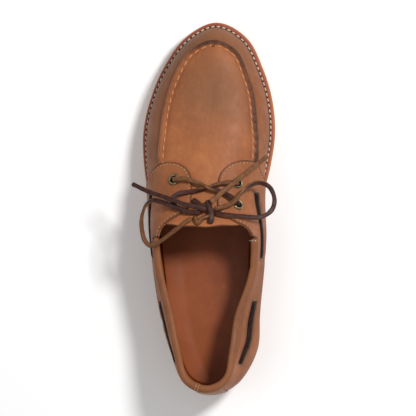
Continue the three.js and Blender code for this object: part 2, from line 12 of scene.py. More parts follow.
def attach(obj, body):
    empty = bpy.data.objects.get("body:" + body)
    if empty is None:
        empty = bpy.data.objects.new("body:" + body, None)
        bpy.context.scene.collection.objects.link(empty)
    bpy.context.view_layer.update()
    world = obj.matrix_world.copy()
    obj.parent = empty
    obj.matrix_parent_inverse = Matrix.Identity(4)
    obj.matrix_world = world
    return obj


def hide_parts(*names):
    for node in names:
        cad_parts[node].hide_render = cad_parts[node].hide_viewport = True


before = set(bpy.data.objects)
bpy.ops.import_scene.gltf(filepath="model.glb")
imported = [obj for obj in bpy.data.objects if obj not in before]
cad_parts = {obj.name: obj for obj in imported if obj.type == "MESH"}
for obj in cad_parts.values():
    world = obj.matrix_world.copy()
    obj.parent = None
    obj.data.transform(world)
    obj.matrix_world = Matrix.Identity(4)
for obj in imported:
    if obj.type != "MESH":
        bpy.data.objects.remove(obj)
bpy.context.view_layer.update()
print("frame loaded:", len(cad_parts), "nodes")

mm = 0.001
shoe = {
    "length": 0.3,
    "ballWidth": 0.1076,
    "instep": 0.08,
    "heel": 0.021,
    "forefoot": 0.0125,
    "toeSpring": 0.009,
    "wall": 0.0022,
    "overlay": 0.0016,
    "gap": 0.0003,
    "midsole": 0.0042,
    "insole": 0.004,
    "rollHeight": 0.0064,
    "rollWidth": 0.0062,
    "rollFront": -0.023,
    "laceWidth": 0.0036,
    "laceThickness": 0.0025,
}
facingTop = shoe["gap"] + shoe["overlay"]

# The shoe's sections from heel tip to toe tip. Shares are in percent, swells and leans in mm.
sectionColumns = (
    "along", "lateral", "medial", "spineAlong", "spineX", "crest", "square",
    "bellyL", "bellyM", "leanL", "leanM", "welt", "top",
)
sections = (
    (1.4, 9, 9, 16.7, 10, 132, 3.2, 2, 2, 0, 0, 1.2, 90),
    (4, -28, 44, 17, 10, 132, 3, 2, 2.6, 0.5, 4.5, 1.2, 88),
    (12.3, -49, 66, 18.7, 9.5, 132, 2.6, 2, 6, 4.5, 14.5, 1.2, 82),
    (21.3, -61.5, 69, 23.3, 7, 132, 2.4, 3.4, 6.4, 7.5, 15, 1, 74.5),
    (32, -68.5, 68, 32, 5, 130, 2.6, 4.4, 8.4, 3, 1.5, 1, 72),
    (42.7, -76.2, 70, 42.7, 4, 107, 3.2, 3, 8.6, 0, -2.5, 1.6, 77.5),
    (52.7, -84.6, 76, 52.7, 3.5, 88, 2.6, 1.5, 5, 0, 0, 3, 90),
    (62, -90.5, 86.5, 62, 4, 77, 2.35, 0.8, 1.5, 0, 0, 4, 120),
    (70.7, -91, 92.8, 70, 6, 69, 2.3, 0.5, 0.5, 0, 0, 4, 120),
    (79.3, -80, 88.4, 76, 9, 64, 2.3, 0.5, 0.5, 0, 0, 4, 120),
    (87.3, -60, 74.5, 79.3, 10.5, 62.2, 2.4, 0.5, 0.5, 0, 0, 4.3, 120),
    (94.7, -28.5, 52.5, 80.7, 11.2, 61.6, 2.4, 0.5, 0.5, 0, 0, 4.7, 120),
    (98.4, 13, 13, 81.3, 11.5, 61.4, 2.4, 0.5, 0.5, 0, 0, 4.8, 120),
)
half = len(sections) - 1
ringCount = 2 * half
sectionTable = dict(zip(sectionColumns, np.array(sections, float).T))

# The sole along the shoe: floor side in mm, and the top as shares of the heel's rise and the toe spring.
soleProfile = dict(zip(("along", "bottom", "heel", "spring"), np.array((
    (-5, 0, 1, 0),
    (12, 0, 1, 0),
    (22, 0, 0.86, 0),
    (32, 4.5, 0.58, 0),
    (43, 1.5, 0.22, 0),
    (52, 0, 0.06, 0),
    (62, 0, 0, 0),
    (70, 0, 0, 0.05),
    (79, 1.4, 0, 0.2),
    (88, 4, 0, 0.48),
    (95, 7, 0, 0.8),
    (101, 9.6, 0, 1),
), float).T))

laceLine = dict(zip(("along", "height"), np.array((
    (5, 57), (9, 54), (17, 47), (25, 44), (37, 45), (47, 47), (56, 46),
), float).T))


# How far in from the foot of the wall, in mm, the apron's seam runs at places round the shoe.
seamLine = dict(zip(("place", "inset"), np.array((
    (6.9, 15.8), (7.9, 17.6), (9.3, 14.9), (10.8, 12.4), (12, 15.2), (13.3, 12.6), (14.4, 12), (15.6, 12.8),
    (17.1, 9.4),
), float).T))


def sideValues(lateralName, medialName):
    lateral = sectionTable[lateralName]
    medial = sectionTable[medialName]
    return np.concatenate([lateral, medial[-2:0:-1]])


ringTable = {
    "x": sideValues("lateral", "medial"),
    "belly": sideValues("bellyL", "bellyM"),
    "lean": sideValues("leanL", "leanM"),
}
for name in ("along", "spineAlong", "spineX", "crest", "square", "welt"):
    ringTable[name] = sideValues(name, name)


def column(name, s):  # a column at place s: 0 heel tip, half toe tip, the lateral side between
    values = ringTable[name]
    i = np.floor(s).astype(int)
    f = s - i
    a, b, c, d = (values[(i + k) % ringCount] for k in (-1, 0, 1, 2))
    return 0.5 * (2 * b + (c - a) * f + (2 * a - 5 * b + 4 * c - d) * f**2 + (3 * b - a - 3 * c + d) * f**3)


def smoothly(along, values, at):  # a column of a table, on a cubic that never overshoots a row
    at = np.asarray(at, float)
    secant = np.diff(values) / np.diff(along)
    product = secant[:-1] * secant[1:]
    total = np.where(secant[:-1] + secant[1:] == 0, 1, secant[:-1] + secant[1:])
    slope = np.concatenate([[0], np.where(product > 0, 2 * product / total, 0), [0]])
    i = np.clip(np.searchsorted(along, at) - 1, 0, len(along) - 2)
    run = along[i + 1] - along[i]
    f = np.clip((at - along[i]) / run, 0, 1)
    eased = values[i] + (values[i + 1] - values[i]) * f * f * (3 - 2 * f)
    return eased + run * (slope[i] * f * (1 - f) ** 2 - slope[i + 1] * f * f * (1 - f))


def lengthwise(table, name, y):
    return smoothly(table["along"], table[name], 100 * (np.asarray(y, float) / shoe["length"] + 0.5))


def soleBottom(y):
    return lengthwise(soleProfile, "bottom", y) * mm


def soleTop(y):
    rise = (shoe["heel"] - shoe["forefoot"]) * lengthwise(soleProfile, "heel", y)
    return shoe["forefoot"] + rise + shoe["toeSpring"] * lengthwise(soleProfile, "spring", y)


def topline(y):
    return lengthwise(sectionTable, "top", y) / 100 * shoe["instep"]


def laceHeight(y):
    return lengthwise(laceLine, "height", y) * mm


def planPoint(s):
    s = np.asarray(s, float)
    x = column("x", s) / 100 * shoe["ballWidth"] / 2
    y = (column("along", s) / 100 - 0.5) * shoe["length"]
    return np.stack([x, y], -1)


def planNormal(s):
    step = 0.02
    run = planPoint(np.asarray(s) + step) - planPoint(np.asarray(s) - step)
    run /= np.linalg.norm(run, axis=-1, keepdims=True)
    return np.stack([-run[..., 1], run[..., 0]], -1)


def spinePoint(s):
    x = column("spineX", s) / 100 * shoe["ballWidth"] / 2
    y = (column("spineAlong", s) / 100 - 0.5) * shoe["length"]
    return np.stack([x, y], -1)


def form(s, v, grow):  # the last's own surface: v runs from the foot of the wall, 0, to the crest, 1
    s, v, grow = np.broadcast_arrays(np.asarray(s, float), np.asarray(v, float), np.asarray(grow, float))
    normal = planNormal(s)
    foot = planPoint(s) + normal * grow[..., None]
    spine = spinePoint(s)
    footZ = soleTop(foot[..., 1]) + shoe["gap"]
    rise = column("crest", s) / 100 * shoe["instep"] + grow - footZ
    power = 2 / column("square", s)
    angle = v * math.pi / 2
    reach = np.maximum(0, np.cos(angle)) ** power
    height = rise * np.maximum(0, np.sin(angle)) ** power
    bellyHeight, leanHeight = 0.015, 0.045
    swell = column("belly", s) * mm * (height / bellyHeight) * np.exp(1 - height / bellyHeight)
    draw = column("lean", s) * mm * np.minimum(1.2, height / leanHeight) ** 1.5
    p = spine + (foot - spine) * reach[..., None] + normal * ((swell - draw) * reach)[..., None]
    return np.concatenate([p, (footZ + height)[..., None]], -1)


def levelAtHeight(s, grow, heightAt):  # the v at which the form reaches heightAt(y)
    s = np.asarray(s, float)
    low = np.zeros_like(s)
    high = np.ones_like(s)
    for _ in range(26):
        v = (low + high) / 2
        p = form(s, v, grow)
        below = p[..., 2] < heightAt(p[..., 1])
        low = np.where(below, v, low)
        high = np.where(below, high, v)
    return low


def levelInwards(s, inset):  # the v at a plan distance inwards from the foot of the wall
    s = np.asarray(s, float)
    reach = 1 - inset / np.linalg.norm(planPoint(s) - spinePoint(s), axis=-1)
    return 2 / math.pi * np.arccos(np.clip(reach, 0, 1) ** (column("square", s) / 2))


def placeAbove(x, y, grow, guess):  # the place and level of the form above a point of the plan
    s, v = guess
    step = 1e-4
    for _ in range(25):
        p = form(s, v, grow)
        ds = (form(s + step, v, grow) - p) / step
        dv = (form(s, v + step, grow) - p) / step
        det = ds[0] * dv[1] - dv[0] * ds[1]
        s += np.clip(((x - p[0]) * dv[1] - (y - p[1]) * dv[0]) / det, -0.5, 0.5)
        v += np.clip(((y - p[1]) * ds[0] - (x - p[0]) * ds[1]) / det, -0.1, 0.1)
    return s, v


def normalAt(s, v, grow):
    step = 1e-3
    ds = form(s + step, v, grow) - form(s - step, v, grow)
    dv = form(s, v + step, grow) - form(s, np.asarray(v) - step, grow)
    n = np.cross(dv, ds)
    return n / np.linalg.norm(n, axis=-1, keepdims=True)


# Meshes and pieces
materials = {}


def newPiece(name, points, faces, finish, smooth=True, replaced=()):
    mesh = bpy.data.meshes.new(name)
    mesh.from_pydata([tuple(p) for p in points], [], [tuple(int(i) for i in f) for f in faces])
    mesh.validate()
    piece = bpy.data.objects.new(name, mesh)
    bpy.context.scene.collection.objects.link(piece)
    for m in finish if isinstance(finish, (list, tuple)) else [finish]:
        mesh.materials.append(materials[m])
    if smooth:
        mesh.polygons.foreach_set("use_smooth", [True] * len(mesh.polygons))
    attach(piece, "root")
    if replaced:
        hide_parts(*replaced)
    return piece


def gridFaces(rows, columns, closed=False, start=0):
    span = columns if closed else columns - 1
    j, i = np.meshgrid(np.arange(rows - 1), np.arange(span), indexing="ij")
    a = j * columns + i
    b = j * columns + (i + 1) % columns
    return (np.stack([a, b, b + columns, a + columns], -1).reshape(-1, 4) + start).tolist()


def turned(faces):
    return [face[::-1] for face in faces]


def pointAttribute(piece, name, values):
    attribute = piece.data.attributes.new(name, "FLOAT", "POINT")
    attribute.data.foreach_set("value", np.asarray(values, np.float32))


def thicken(piece, thickness, bevel, rim=None, offset=-1.0):  # a sheet of leather with rounded cut edges
    wall = piece.modifiers.new("thickness", "SOLIDIFY")
    wall.thickness = thickness
    wall.offset = offset
    wall.use_even_offset = False
    if rim is not None:
        piece.data.materials.append(materials[rim])
        wall.material_offset_rim = len(piece.data.materials) - 1
    if bevel > 0:
        edge = piece.modifiers.new("edge", "BEVEL")
        edge.width = bevel
        edge.segments = 2
        edge.limit_method = "ANGLE"
        edge.angle_limit = math.radians(50)
        edge.harden_normals = True


def smoothRoute(points, step, passes=1):  # a centripetal curve through given points, evenly stepped
    p = np.array(points, float)
    p = np.vstack([2 * p[0] - p[1], p, 2 * p[-1] - p[-2]])
    fine = []
    for k in range(1, len(p) - 2):
        a, b, c, d = p[k - 1:k + 3]
        t0 = 0
        t1 = t0 + np.linalg.norm(b - a) ** 0.5
        t2 = t1 + np.linalg.norm(c - b) ** 0.5
        t3 = t2 + np.linalg.norm(d - c) ** 0.5
        t = np.linspace(t1, t2, 24, endpoint=False)[:, None]
        ab = (t1 - t) / (t1 - t0) * a + (t - t0) / (t1 - t0) * b
        bc = (t2 - t) / (t2 - t1) * b + (t - t1) / (t2 - t1) * c
        cd = (t3 - t) / (t3 - t2) * c + (t - t2) / (t3 - t2) * d
        abc = (t2 - t) / (t2 - t0) * ab + (t - t0) / (t2 - t0) * bc
        bcd = (t3 - t) / (t3 - t1) * bc + (t - t1) / (t3 - t1) * cd
        fine.append((t2 - t) / (t2 - t1) * abc + (t - t1) / (t2 - t1) * bcd)
    fine = np.vstack(fine + [p[-2:-1]])
    along = np.concatenate([[0], np.cumsum(np.linalg.norm(np.diff(fine, axis=0), axis=1))])
    count = max(2, int(round(along[-1] / step)) + 1)
    even = np.linspace(0, along[-1], count)
    return np.stack([np.interp(even, along, fine[:, k]) for k in range(3)], -1), along[-1]


def routeFrames(path, up):  # a frame carried along the path with the least turning
    tangent = np.gradient(path, axis=0)
    tangent /= np.linalg.norm(tangent, axis=1, keepdims=True)
    flat = np.abs(tangent[:, 2])
    first = int(np.argmin(flat[len(flat) // 4: 3 * len(flat) // 4])) + len(flat) // 4
    lift = np.zeros_like(path)
    start = np.array(up, float) - tangent[first] * np.dot(up, tangent[first])
    lift[first] = start / np.linalg.norm(start)
    for order in (range(first + 1, len(path)), range(first - 1, -1, -1)):
        last = first
        for k in order:
            u = lift[last] - tangent[k] * np.dot(lift[last], tangent[k])
            lift[k] = u / np.linalg.norm(u)
            last = k
    side = np.cross(tangent, lift)
    return tangent, side, lift


# Camera
camera = {"tilt": 4.49, "distance": 3.0, "pixel": 0.804 * mm, "pixels": 416, "sensor": 36.0, "aim": (0.0018, 0.0, 0.036)}


def addCamera():
    data = bpy.data.cameras.new("camera")
    data.sensor_width = camera["sensor"]
    data.lens = camera["sensor"] * camera["distance"] / (camera["pixel"] * camera["pixels"])
    data.clip_end = 20
    item = bpy.data.objects.new("camera", data)
    tilt = math.radians(camera["tilt"])
    back = Vector((math.sin(tilt), 0, math.cos(tilt)))
    item.location = Vector(camera["aim"]) + back * camera["distance"]
    right = Vector((math.cos(tilt), 0, -math.sin(tilt)))
    up = Vector((0, 1, 0))
    turn = Matrix((right, up, back)).transposed()
    item.rotation_euler = turn.to_euler()
    bpy.context.scene.collection.objects.link(item)
    bpy.context.scene.camera = item


addCamera()


# Materials
def colour(red, green, blue):  # a colour as it shows on a screen, 0 to 255
    def linear(value):
        value /= 255
        return value / 12.92 if value <= 0.04045 else ((value + 0.055) / 1.055) ** 2.4
    return (linear(red), linear(green), linear(blue), 1.0)


class Finish:  # a material's node tree, with short names for the nodes used here
    def __init__(self, name, roughness, specular=0.5, metallic=0.0):
        material = bpy.data.materials.new(name)
        material.use_nodes = True
        self.nodes = material.node_tree.nodes
        self.links = material.node_tree.links
        self.shader = self.nodes["Principled BSDF"]
        self.shader.inputs["Roughness"].default_value = roughness
        self.shader.inputs["Specular IOR Level"].default_value = specular
        self.shader.inputs["Metallic"].default_value = metallic
        self.place = self.nodes.new("ShaderNodeTexCoord").outputs["Object"]
        materials[name] = material

    def put(self, socket, value):
        if hasattr(value, "is_output"):
            self.links.new(value, socket)
        else:
            socket.default_value = value

    def stretched(self, scale, turn=(0, 0, 0)):
        node = self.nodes.new("ShaderNodeMapping")
        node.inputs["Scale"].default_value = scale
        node.inputs["Rotation"].default_value = turn
        self.put(node.inputs["Vector"], self.place)
        return node.outputs["Vector"]

    def noise(self, scale, detail=3.0, rough=0.5, vector=None, distortion=0.0):
        node = self.nodes.new("ShaderNodeTexNoise")
        self.put(node.inputs["Vector"], vector or self.place)
        node.inputs["Scale"].default_value = scale
        node.inputs["Detail"].default_value = detail
        node.inputs["Roughness"].default_value = rough
        node.inputs["Distortion"].default_value = distortion
        return node.outputs["Fac"]

    def cells(self, scale, feature="F1", vector=None, output="Distance"):
        node = self.nodes.new("ShaderNodeTexVoronoi")
        node.feature = feature
        self.put(node.inputs["Vector"], vector or self.place)
        node.inputs["Scale"].default_value = scale
        return node.outputs[output]

    def attribute(self, name):
        node = self.nodes.new("ShaderNodeAttribute")
        node.attribute_name = name
        return node.outputs["Fac"]

    def curve(self, value, low, high, outLow=0.0, outHigh=1.0, smooth=True):
        node = self.nodes.new("ShaderNodeMapRange")
        node.interpolation_type = "SMOOTHSTEP" if smooth else "LINEAR"
        self.put(node.inputs["Value"], value)
        for socket, number in zip(("From Min", "From Max", "To Min", "To Max"), (low, high, outLow, outHigh)):
            node.inputs[socket].default_value = number
        return node.outputs["Result"]

    def sum(self, operation, a, b):
        node = self.nodes.new("ShaderNodeMath")
        node.operation = operation
        self.put(node.inputs[0], a)
        self.put(node.inputs[1], b)
        return node.outputs[0]

    def blend(self, share, a, b, mode="MIX"):
        node = self.nodes.new("ShaderNodeMix")
        node.data_type = "RGBA"
        node.blend_type = mode
        self.put(node.inputs["Factor"], share)
        self.put(node.inputs["A"], a)
        self.put(node.inputs["B"], b)
        return node.outputs["Result"]

    def bump(self, height, depth, strength=1.0, after=None):
        node = self.nodes.new("ShaderNodeBump")
        node.inputs["Strength"].default_value = strength
        node.inputs["Distance"].default_value = depth
        self.put(node.inputs["Height"], height)
        if after is not None:
            self.put(node.inputs["Normal"], after)
        return node.outputs["Normal"]

    def finish(self, base, roughness=None, normal=None):
        self.put(self.shader.inputs["Base Color"], base)
        if roughness is not None:
            self.put(self.shader.inputs["Roughness"], roughness)
        if normal is not None:
            self.put(self.shader.inputs["Normal"], normal)


# The upper's pull-up leather: a warm tan with random clouds, smoky patches, mottling and pores. Painted marks go on top
# where a piece asks for them: a dark one for burnished edges and painted shade, a grey one for the leather's grey tone
# and a painted sheen and reflection, a pale one for worn edges and painted highlights.
leather = {
    "tan": (167, 102, 62),
    "deep": (140, 82, 50),
    "grey": (122, 83, 58),
    "pale": (190, 124, 76),
    "darkBurnishAndShade": (44, 24, 19),
    "pores": 900.0,
    "creases": 260.0,
}


def leatherFinish(name, shift=1.0, burnishAndShade=True):
    tone = {k: colour(*(min(255, c * shift) for c in v)) for k, v in leather.items() if isinstance(v, tuple)}
    made = Finish(name, 0.55, 0.2)
    clouds = made.curve(made.noise(14, 4, 0.55), 0.32, 0.72)
    base = made.blend(clouds, tone["tan"], tone["deep"])
    smoky = made.curve(made.noise(26, 5, 0.6, made.stretched((1, 0.7, 1.3), (0.3, 0.2, 0.5))), 0.5, 0.78, 0, 0.4)
    base = made.blend(smoky, base, tone["grey"])
    fibres = made.noise(190, 5, 0.65, made.stretched((1.6, 0.8, 1.2), (0.1, 0.4, 0.3)))
    base = made.blend(made.curve(fibres, 0.42, 0.75, 0, 0.24), base, tone["pale"])
    mottle = made.noise(85, 4, 0.62, made.stretched((1, 0.8, 1.1), (0.2, 0.1, 0.6)))
    base = made.blend(made.curve(mottle, 0.5, 0.78, 0, 0.5), base, tone["deep"])
    base = made.blend(made.curve(mottle, 0.5, 0.24, 0, 0.3), base, tone["pale"])
    pores = made.cells(leather["pores"])
    base = made.blend(made.curve(pores, 0.0, 0.28, 0.3, 0), base, tone["deep"])
    # The marks a piece paints on: burnished edges with painted shade, grey tone with painted sheen, and worn edges with
    # painted highlights.
    if burnishAndShade:
        wearAndPaintedLight = made.sum("MULTIPLY", made.attribute("burnishAndShade"), made.curve(made.noise(60, 3), 0.2, 0.7, 0.75, 1.1))
        base = made.blend(wearAndPaintedLight, base, tone["darkBurnishAndShade"])
        base = made.blend(made.attribute("greyToneAndSheen"), base, tone["grey"])
        base = made.blend(made.attribute("wearAndPaintedLight"), base, tone["pale"])
    wrinkle = made.cells(leather["creases"], "DISTANCE_TO_EDGE", made.stretched((1, 1.3, 1)))
    grain = made.sum("ADD", made.sum("MULTIPLY", made.curve(wrinkle, 0, 0.2), 0.4), made.sum("MULTIPLY", pores, 0.5))
    grain = made.sum("ADD", grain, made.noise(420, 4, 0.6))
    normal = made.bump(grain, 0.09 * mm, 0.55)
    normal = made.bump(made.noise(48, 3, 0.5), 0.5 * mm, 0.5, normal)
    rough = made.curve(made.noise(70, 4, 0.6), 0.25, 0.75, 0.46, 0.66)
    made.finish(base, rough, normal)


# The vamp wall, quarters and roll take darker copies of the one leather, matched to how dark these parts look in place:
# painted shade.
leatherFinish("upperLeather")
leatherFinish("vampLeather", 0.89)
leatherFinish("quarterLeather", 0.94)
leatherFinish("rollLeather", 0.86)


def edgeFinish():  # the raw cut edge of the leather, fibrous; its darkness is partly the leather's own and partly painted shadow under the overlays' edges
    made = Finish("cutEdge", 0.7, 0.25)
    base = made.blend(made.curve(made.noise(600, 4), 0.35, 0.7), colour(104, 62, 44), colour(150, 96, 66))
    made.finish(base, None, made.bump(made.noise(900, 3), 0.1 * mm, 0.6))


edgeFinish()


def liningFinish(name, light, dark):
    made = Finish(name, 0.55, 0.25)
    clouds = made.curve(made.noise(12, 4, 0.5), 0.35, 0.7)
    base = made.blend(clouds, colour(*light), colour(*dark))
    base = made.blend(made.curve(made.noise(150, 4, 0.6), 0.5, 0.8, 0, 0.3), base, colour(*(c * 1.12 for c in light)))
    base = made.blend(made.attribute("shade"), base, colour(*(c * 0.62 for c in dark)))
    pores = made.cells(1100)
    normal = made.bump(made.sum("ADD", pores, made.noise(500, 3)), 0.06 * mm, 0.5)
    made.finish(base, made.curve(made.noise(60), 0.3, 0.7, 0.45, 0.62), normal)


liningFinish("insoleLeather", (150, 80, 42), (124, 62, 33))
liningFinish("liningLeather", (150, 78, 40), (114, 58, 32))


# Rubber of the two sole layers, moulded, with a dusty bloom.
def rubberFinish(name, base, bloom, rough):
    made = Finish(name, rough, 0.35)
    mixed = made.blend(made.curve(made.noise(40, 4), 0.35, 0.7), colour(*base), colour(*bloom))
    mixed = made.blend(made.curve(made.noise(700, 3), 0.5, 0.8, 0, 0.25), mixed, colour(*(c * 1.2 for c in bloom)))
    normal = made.bump(made.noise(1300, 3, 0.6), 0.05 * mm, 0.6)
    normal = made.bump(made.noise(120, 3), 0.15 * mm, 0.3, normal)
    made.finish(mixed, made.curve(made.noise(90, 3), 0.3, 0.7, rough - 0.08, rough + 0.1), normal)


rubberFinish("weltRubber", (136, 62, 48), (152, 74, 56), 0.62)
rubberFinish("outsoleRubber", (158, 98, 46), (172, 112, 60), 0.6)


def rawhideFinish(name, dark, light, gloss=0.24):  # the lace: dark waxed face, tan sides and back
    made = Finish(name, 0.55, gloss)
    streaks = made.noise(300, 4, 0.6, made.stretched((1, 1, 1)))
    face = made.blend(made.curve(streaks, 0.3, 0.7), colour(*dark), colour(*light))
    side = made.blend(made.curve(streaks, 0.3, 0.75), colour(120, 77, 44), colour(88, 54, 31))
    share = made.curve(made.attribute("face"), 0.35, 0.65)
    base = made.blend(share, side, face)
    base = made.blend(made.curve(made.noise(45, 3), 0.55, 0.8, 0, 0.3), base, colour(92, 66, 50))
    normal = made.bump(made.sum("ADD", streaks, made.cells(1200)), 0.08 * mm, 0.6)
    made.finish(base, made.curve(made.noise(160), 0.3, 0.7, 0.44, 0.64), normal)


rawhideFinish("rawhide", (42, 22, 18), (70, 38, 31))
# A darker, duller copy of the lace for the side lace lying in its slots: painted shade.
rawhideFinish("rawhideDeep", (27, 14, 10), (44, 25, 19), 0.08)


def threadFinish(name, light, dark):  # waxed thread, twisted
    made = Finish(name, 0.55, 0.35)
    twist = made.noise(1500, 2, 0.5, made.stretched((1, 1, 1), (0.6, 0.4, 0.8)))
    base = made.blend(made.curve(twist, 0.3, 0.7), colour(*light), colour(*dark))
    made.finish(base, None, made.bump(twist, 0.1 * mm, 0.6))


threadFinish("weltThread", (214, 204, 180), (178, 166, 142))
threadFinish("mocThread", (204, 132, 78), (170, 102, 58))
threadFinish("tabThread", (196, 156, 116), (164, 120, 86))
threadFinish("barThread", (128, 118, 92), (98, 92, 74))


def brassFinish():  # antique brass with a patchy patina; the dark in the eyelet hollows is painted shade in a finish of its own
    made = Finish("antiqueBrass", 0.42, 0.5, 0.75)
    patina = made.curve(made.noise(320, 4, 0.6), 0.35, 0.65)
    base = made.blend(patina, colour(150, 138, 100), colour(84, 80, 60))
    base = made.blend(made.curve(made.noise(900, 2), 0.55, 0.75), base, colour(170, 148, 100))
    made.finish(base, made.curve(made.noise(260), 0.3, 0.7, 0.32, 0.55), made.bump(made.noise(700), 0.05 * mm, 0.5))


brassFinish()


def holeFinish():  # painted shade: the dark inside a stitch hole and an eyelet
    made = Finish("paintedHoleShade", 0.9, 0.1)
    made.finish(made.blend(made.noise(400), colour(38, 24, 20), colour(24, 15, 13)))


holeFinish()
print("finishes made:", len(materials))


# The rawhide lace: over the throat, the bow, and round the sides. Roll turns the strip about its own line.
laceRoutes = {
    "crossUnder": [
        (0.0274, 0.02, 0.063), (0.027, 0.0201, 0.0668), (0.0234, 0.0204, 0.0694), (0.0119, 0.0191, 0.0692),
        (-0.0001, 0.0148, 0.0706), (-0.012, 0.0126, 0.0718), (-0.0193, 0.0113, 0.0728),
        (-0.0229, 0.008, 0.0744), (-0.023, 0.0046, 0.0736), (-0.0228, 0.0035, 0.0704),
    ],
    "crossOver": [
        (-0.0234, 0.0226, 0.0634), (-0.0228, 0.0228, 0.0672), (-0.0188, 0.0232, 0.0696), (-0.0125, 0.0231, 0.07),
        (-0.0038, 0.02, 0.0706), (0.0051, 0.0158, 0.0724), (0.012, 0.0139, 0.072), (0.0183, 0.0113, 0.0726),
        (0.0243, 0.0084, 0.0738), (0.0279, 0.005, 0.0734), (0.0283, 0.0027, 0.069),
    ],
    "knotWrap": [
        (0.0046, 0.0056, 0.0746), (0.006, 0.0018, 0.078), (0.0076, -0.0034, 0.08), (0.0082, -0.0086, 0.082),
        (0.0068, -0.012, 0.082),
    ],
    "knotAcross": [
        (-0.0072, 0.0066, 0.0734), (-0.001, 0.0024, 0.076), (0.0046, -0.001, 0.0778), (0.0096, -0.0032, 0.078),
    ],
    "knotFold": [
        (-0.0055, -0.007, 0.0798), (-0.0028, -0.0118, 0.0826), (0.0008, -0.0084, 0.0816), (0.0074, -0.005, 0.0804),
    ],
    "loopLeft": [
        (-0.0008, -0.0038, 0.0794), (-0.006, -0.0034, 0.0792), (-0.012, -0.0028, 0.0786), (-0.019, 0, 0.0772),
        (-0.0275, 0.003, 0.0748), (-0.0344, 0.0052, 0.0714), (-0.0404, 0.006, 0.0678), (-0.0459, 0.0017, 0.0644),
        (-0.0493, -0.0084, 0.062), (-0.0489, -0.0184, 0.0616), (-0.0466, -0.026, 0.0628),
        (-0.0422, -0.03, 0.0648), (-0.0342, -0.0268, 0.0698), (-0.0188, -0.016, 0.0802),
        (-0.0124, -0.011, 0.0816), (-0.0082, -0.0084, 0.081),
    ],
    "endLeft": [
        (0.0039, -0.0014, 0.0812), (-0.003, 0.0004, 0.0818), (-0.012, 0.0026, 0.081), (-0.0232, 0.0064, 0.0786),
        (-0.034, 0.01, 0.0736), (-0.0436, 0.0132, 0.0676), (-0.0567, 0.0191, 0.06),
    ],
    "loopRight": [
        (0.0108, -0.004, 0.0786), (0.0164, -0.005, 0.0793), (0.022, -0.0058, 0.0785), (0.0317, -0.0066, 0.0738),
        (0.0466, -0.0071, 0.0672), (0.0548, -0.0016, 0.0634), (0.0569, 0.0069, 0.0618), (0.053, 0.0166, 0.0622), (0.045, 0.0202, 0.0654),
        (0.0364, 0.017, 0.071), (0.0304, 0.0113, 0.0758), (0.0258, 0.0054, 0.078), (0.0184, 0.0014, 0.0784),
        (0.0106, -0.0005, 0.0789),
    ],
    "endRight": [
        (0.0076, 0.0044, 0.0798), (0.0145, 0.011, 0.0776), (0.0224, 0.0174, 0.0742), (0.031, 0.0248, 0.0684),
        (0.0405, 0.0328, 0.06), (0.05, 0.0409, 0.0505),
    ],
}
# Rolls in degrees from the start of each route to its end, evenly spread. At 0 the dark face looks up.
laceRolls = {
    "crossUnder": (160, 140, 90, 20, 0, 0),
    "crossOver": (180, 175, 165, 120, 30, 0, 0),
    "knotWrap": (0, 20, 30),
    "knotAcross": (0, 10, 20),
    "knotFold": (150, 120, 60),
    "loopLeft": (-25, -35, -60, -90, -130, -165, -175, -175),
    "endLeft": (10, 0, -10, 5),
    "loopRight": (10, 5, -10, -20, 0, 20, 100, 170),
    "endRight": (170, 160, 170, 165),
}
lace = {"step": 0.9 * mm, "corner": 0.75 * mm, "cornerSteps": 3, "endRound": 0.4 * mm, "ripple": 0.08}


def laceSection():  # a rounded strip section, and how much of each point is the dark face
    width, thickness, corner = shoe["laceWidth"] / 2, shoe["laceThickness"] / 2, lace["corner"]
    points = []
    for turn, (x, y) in enumerate(((1, 1), (-1, 1), (-1, -1), (1, -1))):
        for k in range(lace["cornerSteps"] + 1):
            angle = math.pi / 2 * (turn + k / lace["cornerSteps"])
            points.append((x * (width - corner) + corner * math.cos(angle),
                           y * (thickness - corner) + corner * math.sin(angle)))
    points = np.array(points)
    face = np.clip((points[:, 1] - 0.3 * mm) / (0.6 * mm), 0, 1)
    return points, face


def sweepLace(path, rolls, seed=0, fullness=1.0, up=(0, 0, 1)):
    points, face = laceSection()
    points = points * fullness
    tangent, side, lift = routeFrames(path, up)
    roll = np.radians(np.interp(np.linspace(0, len(rolls) - 1, len(path)), np.arange(len(rolls)), rolls))
    c, s = np.cos(roll)[:, None], np.sin(roll)[:, None]
    side, lift = side * c + lift * s, lift * c - side * s
    along = np.arange(len(path)) * lace["step"]
    swell = 1 + lace["ripple"] * (0.6 * np.sin(along * 310 + seed) + 0.4 * np.sin(along * 727 + 2.1 * seed))
    size = np.ones(len(path))
    size[0] = size[-1] = 0.72
    count = len(points)
    rings = path[:, None] + (side[:, None] * points[None, :, :1] * swell[:, None, None]
                             + lift[:, None] * points[None, :, 1:] / swell[:, None, None]) * size[:, None, None]
    rings[0] -= tangent[0] * 0.15 * mm
    rings[-1] += tangent[-1] * 0.15 * mm
    verts = rings.reshape(-1, 3)
    faces = gridFaces(len(path), count, closed=True)
    last = (len(path) - 1) * count
    faces.append(list(range(count))[::-1])
    faces.append([last + k for k in range(count)])
    return verts, faces, np.tile(face, len(path))


def joinParts(parts):  # several (points, faces, values) as one
    verts, faces, values, start = [], [], [], 0
    for v, f, a in parts:
        verts.append(v)
        faces += [[i + start for i in face] for face in f]
        values.append(a)
        start += len(v)
    return np.vstack(verts), faces, np.concatenate(values)


def outwards(piece):  # faces turned to look out of a closed piece
    mesh = piece.data
    bm = bmesh.new()
    bm.from_mesh(mesh)
    bmesh.ops.recalc_face_normals(bm, faces=bm.faces)
    bm.to_mesh(mesh)
    bm.free()


def addLace(name, routes, replaced, seed=0, fullness=1.0):
    made = []
    for k, route in enumerate(routes):
        path, length = smoothRoute(laceRoutes[route], lace["step"])
        made.append(sweepLace(path, laceRolls[route], seed + k, fullness))
    verts, faces, face = joinParts(made)
    piece = newPiece(name, verts, faces, "rawhide", replaced=replaced)
    pointAttribute(piece, "face", face)
    outwards(piece)
    return piece, path, length


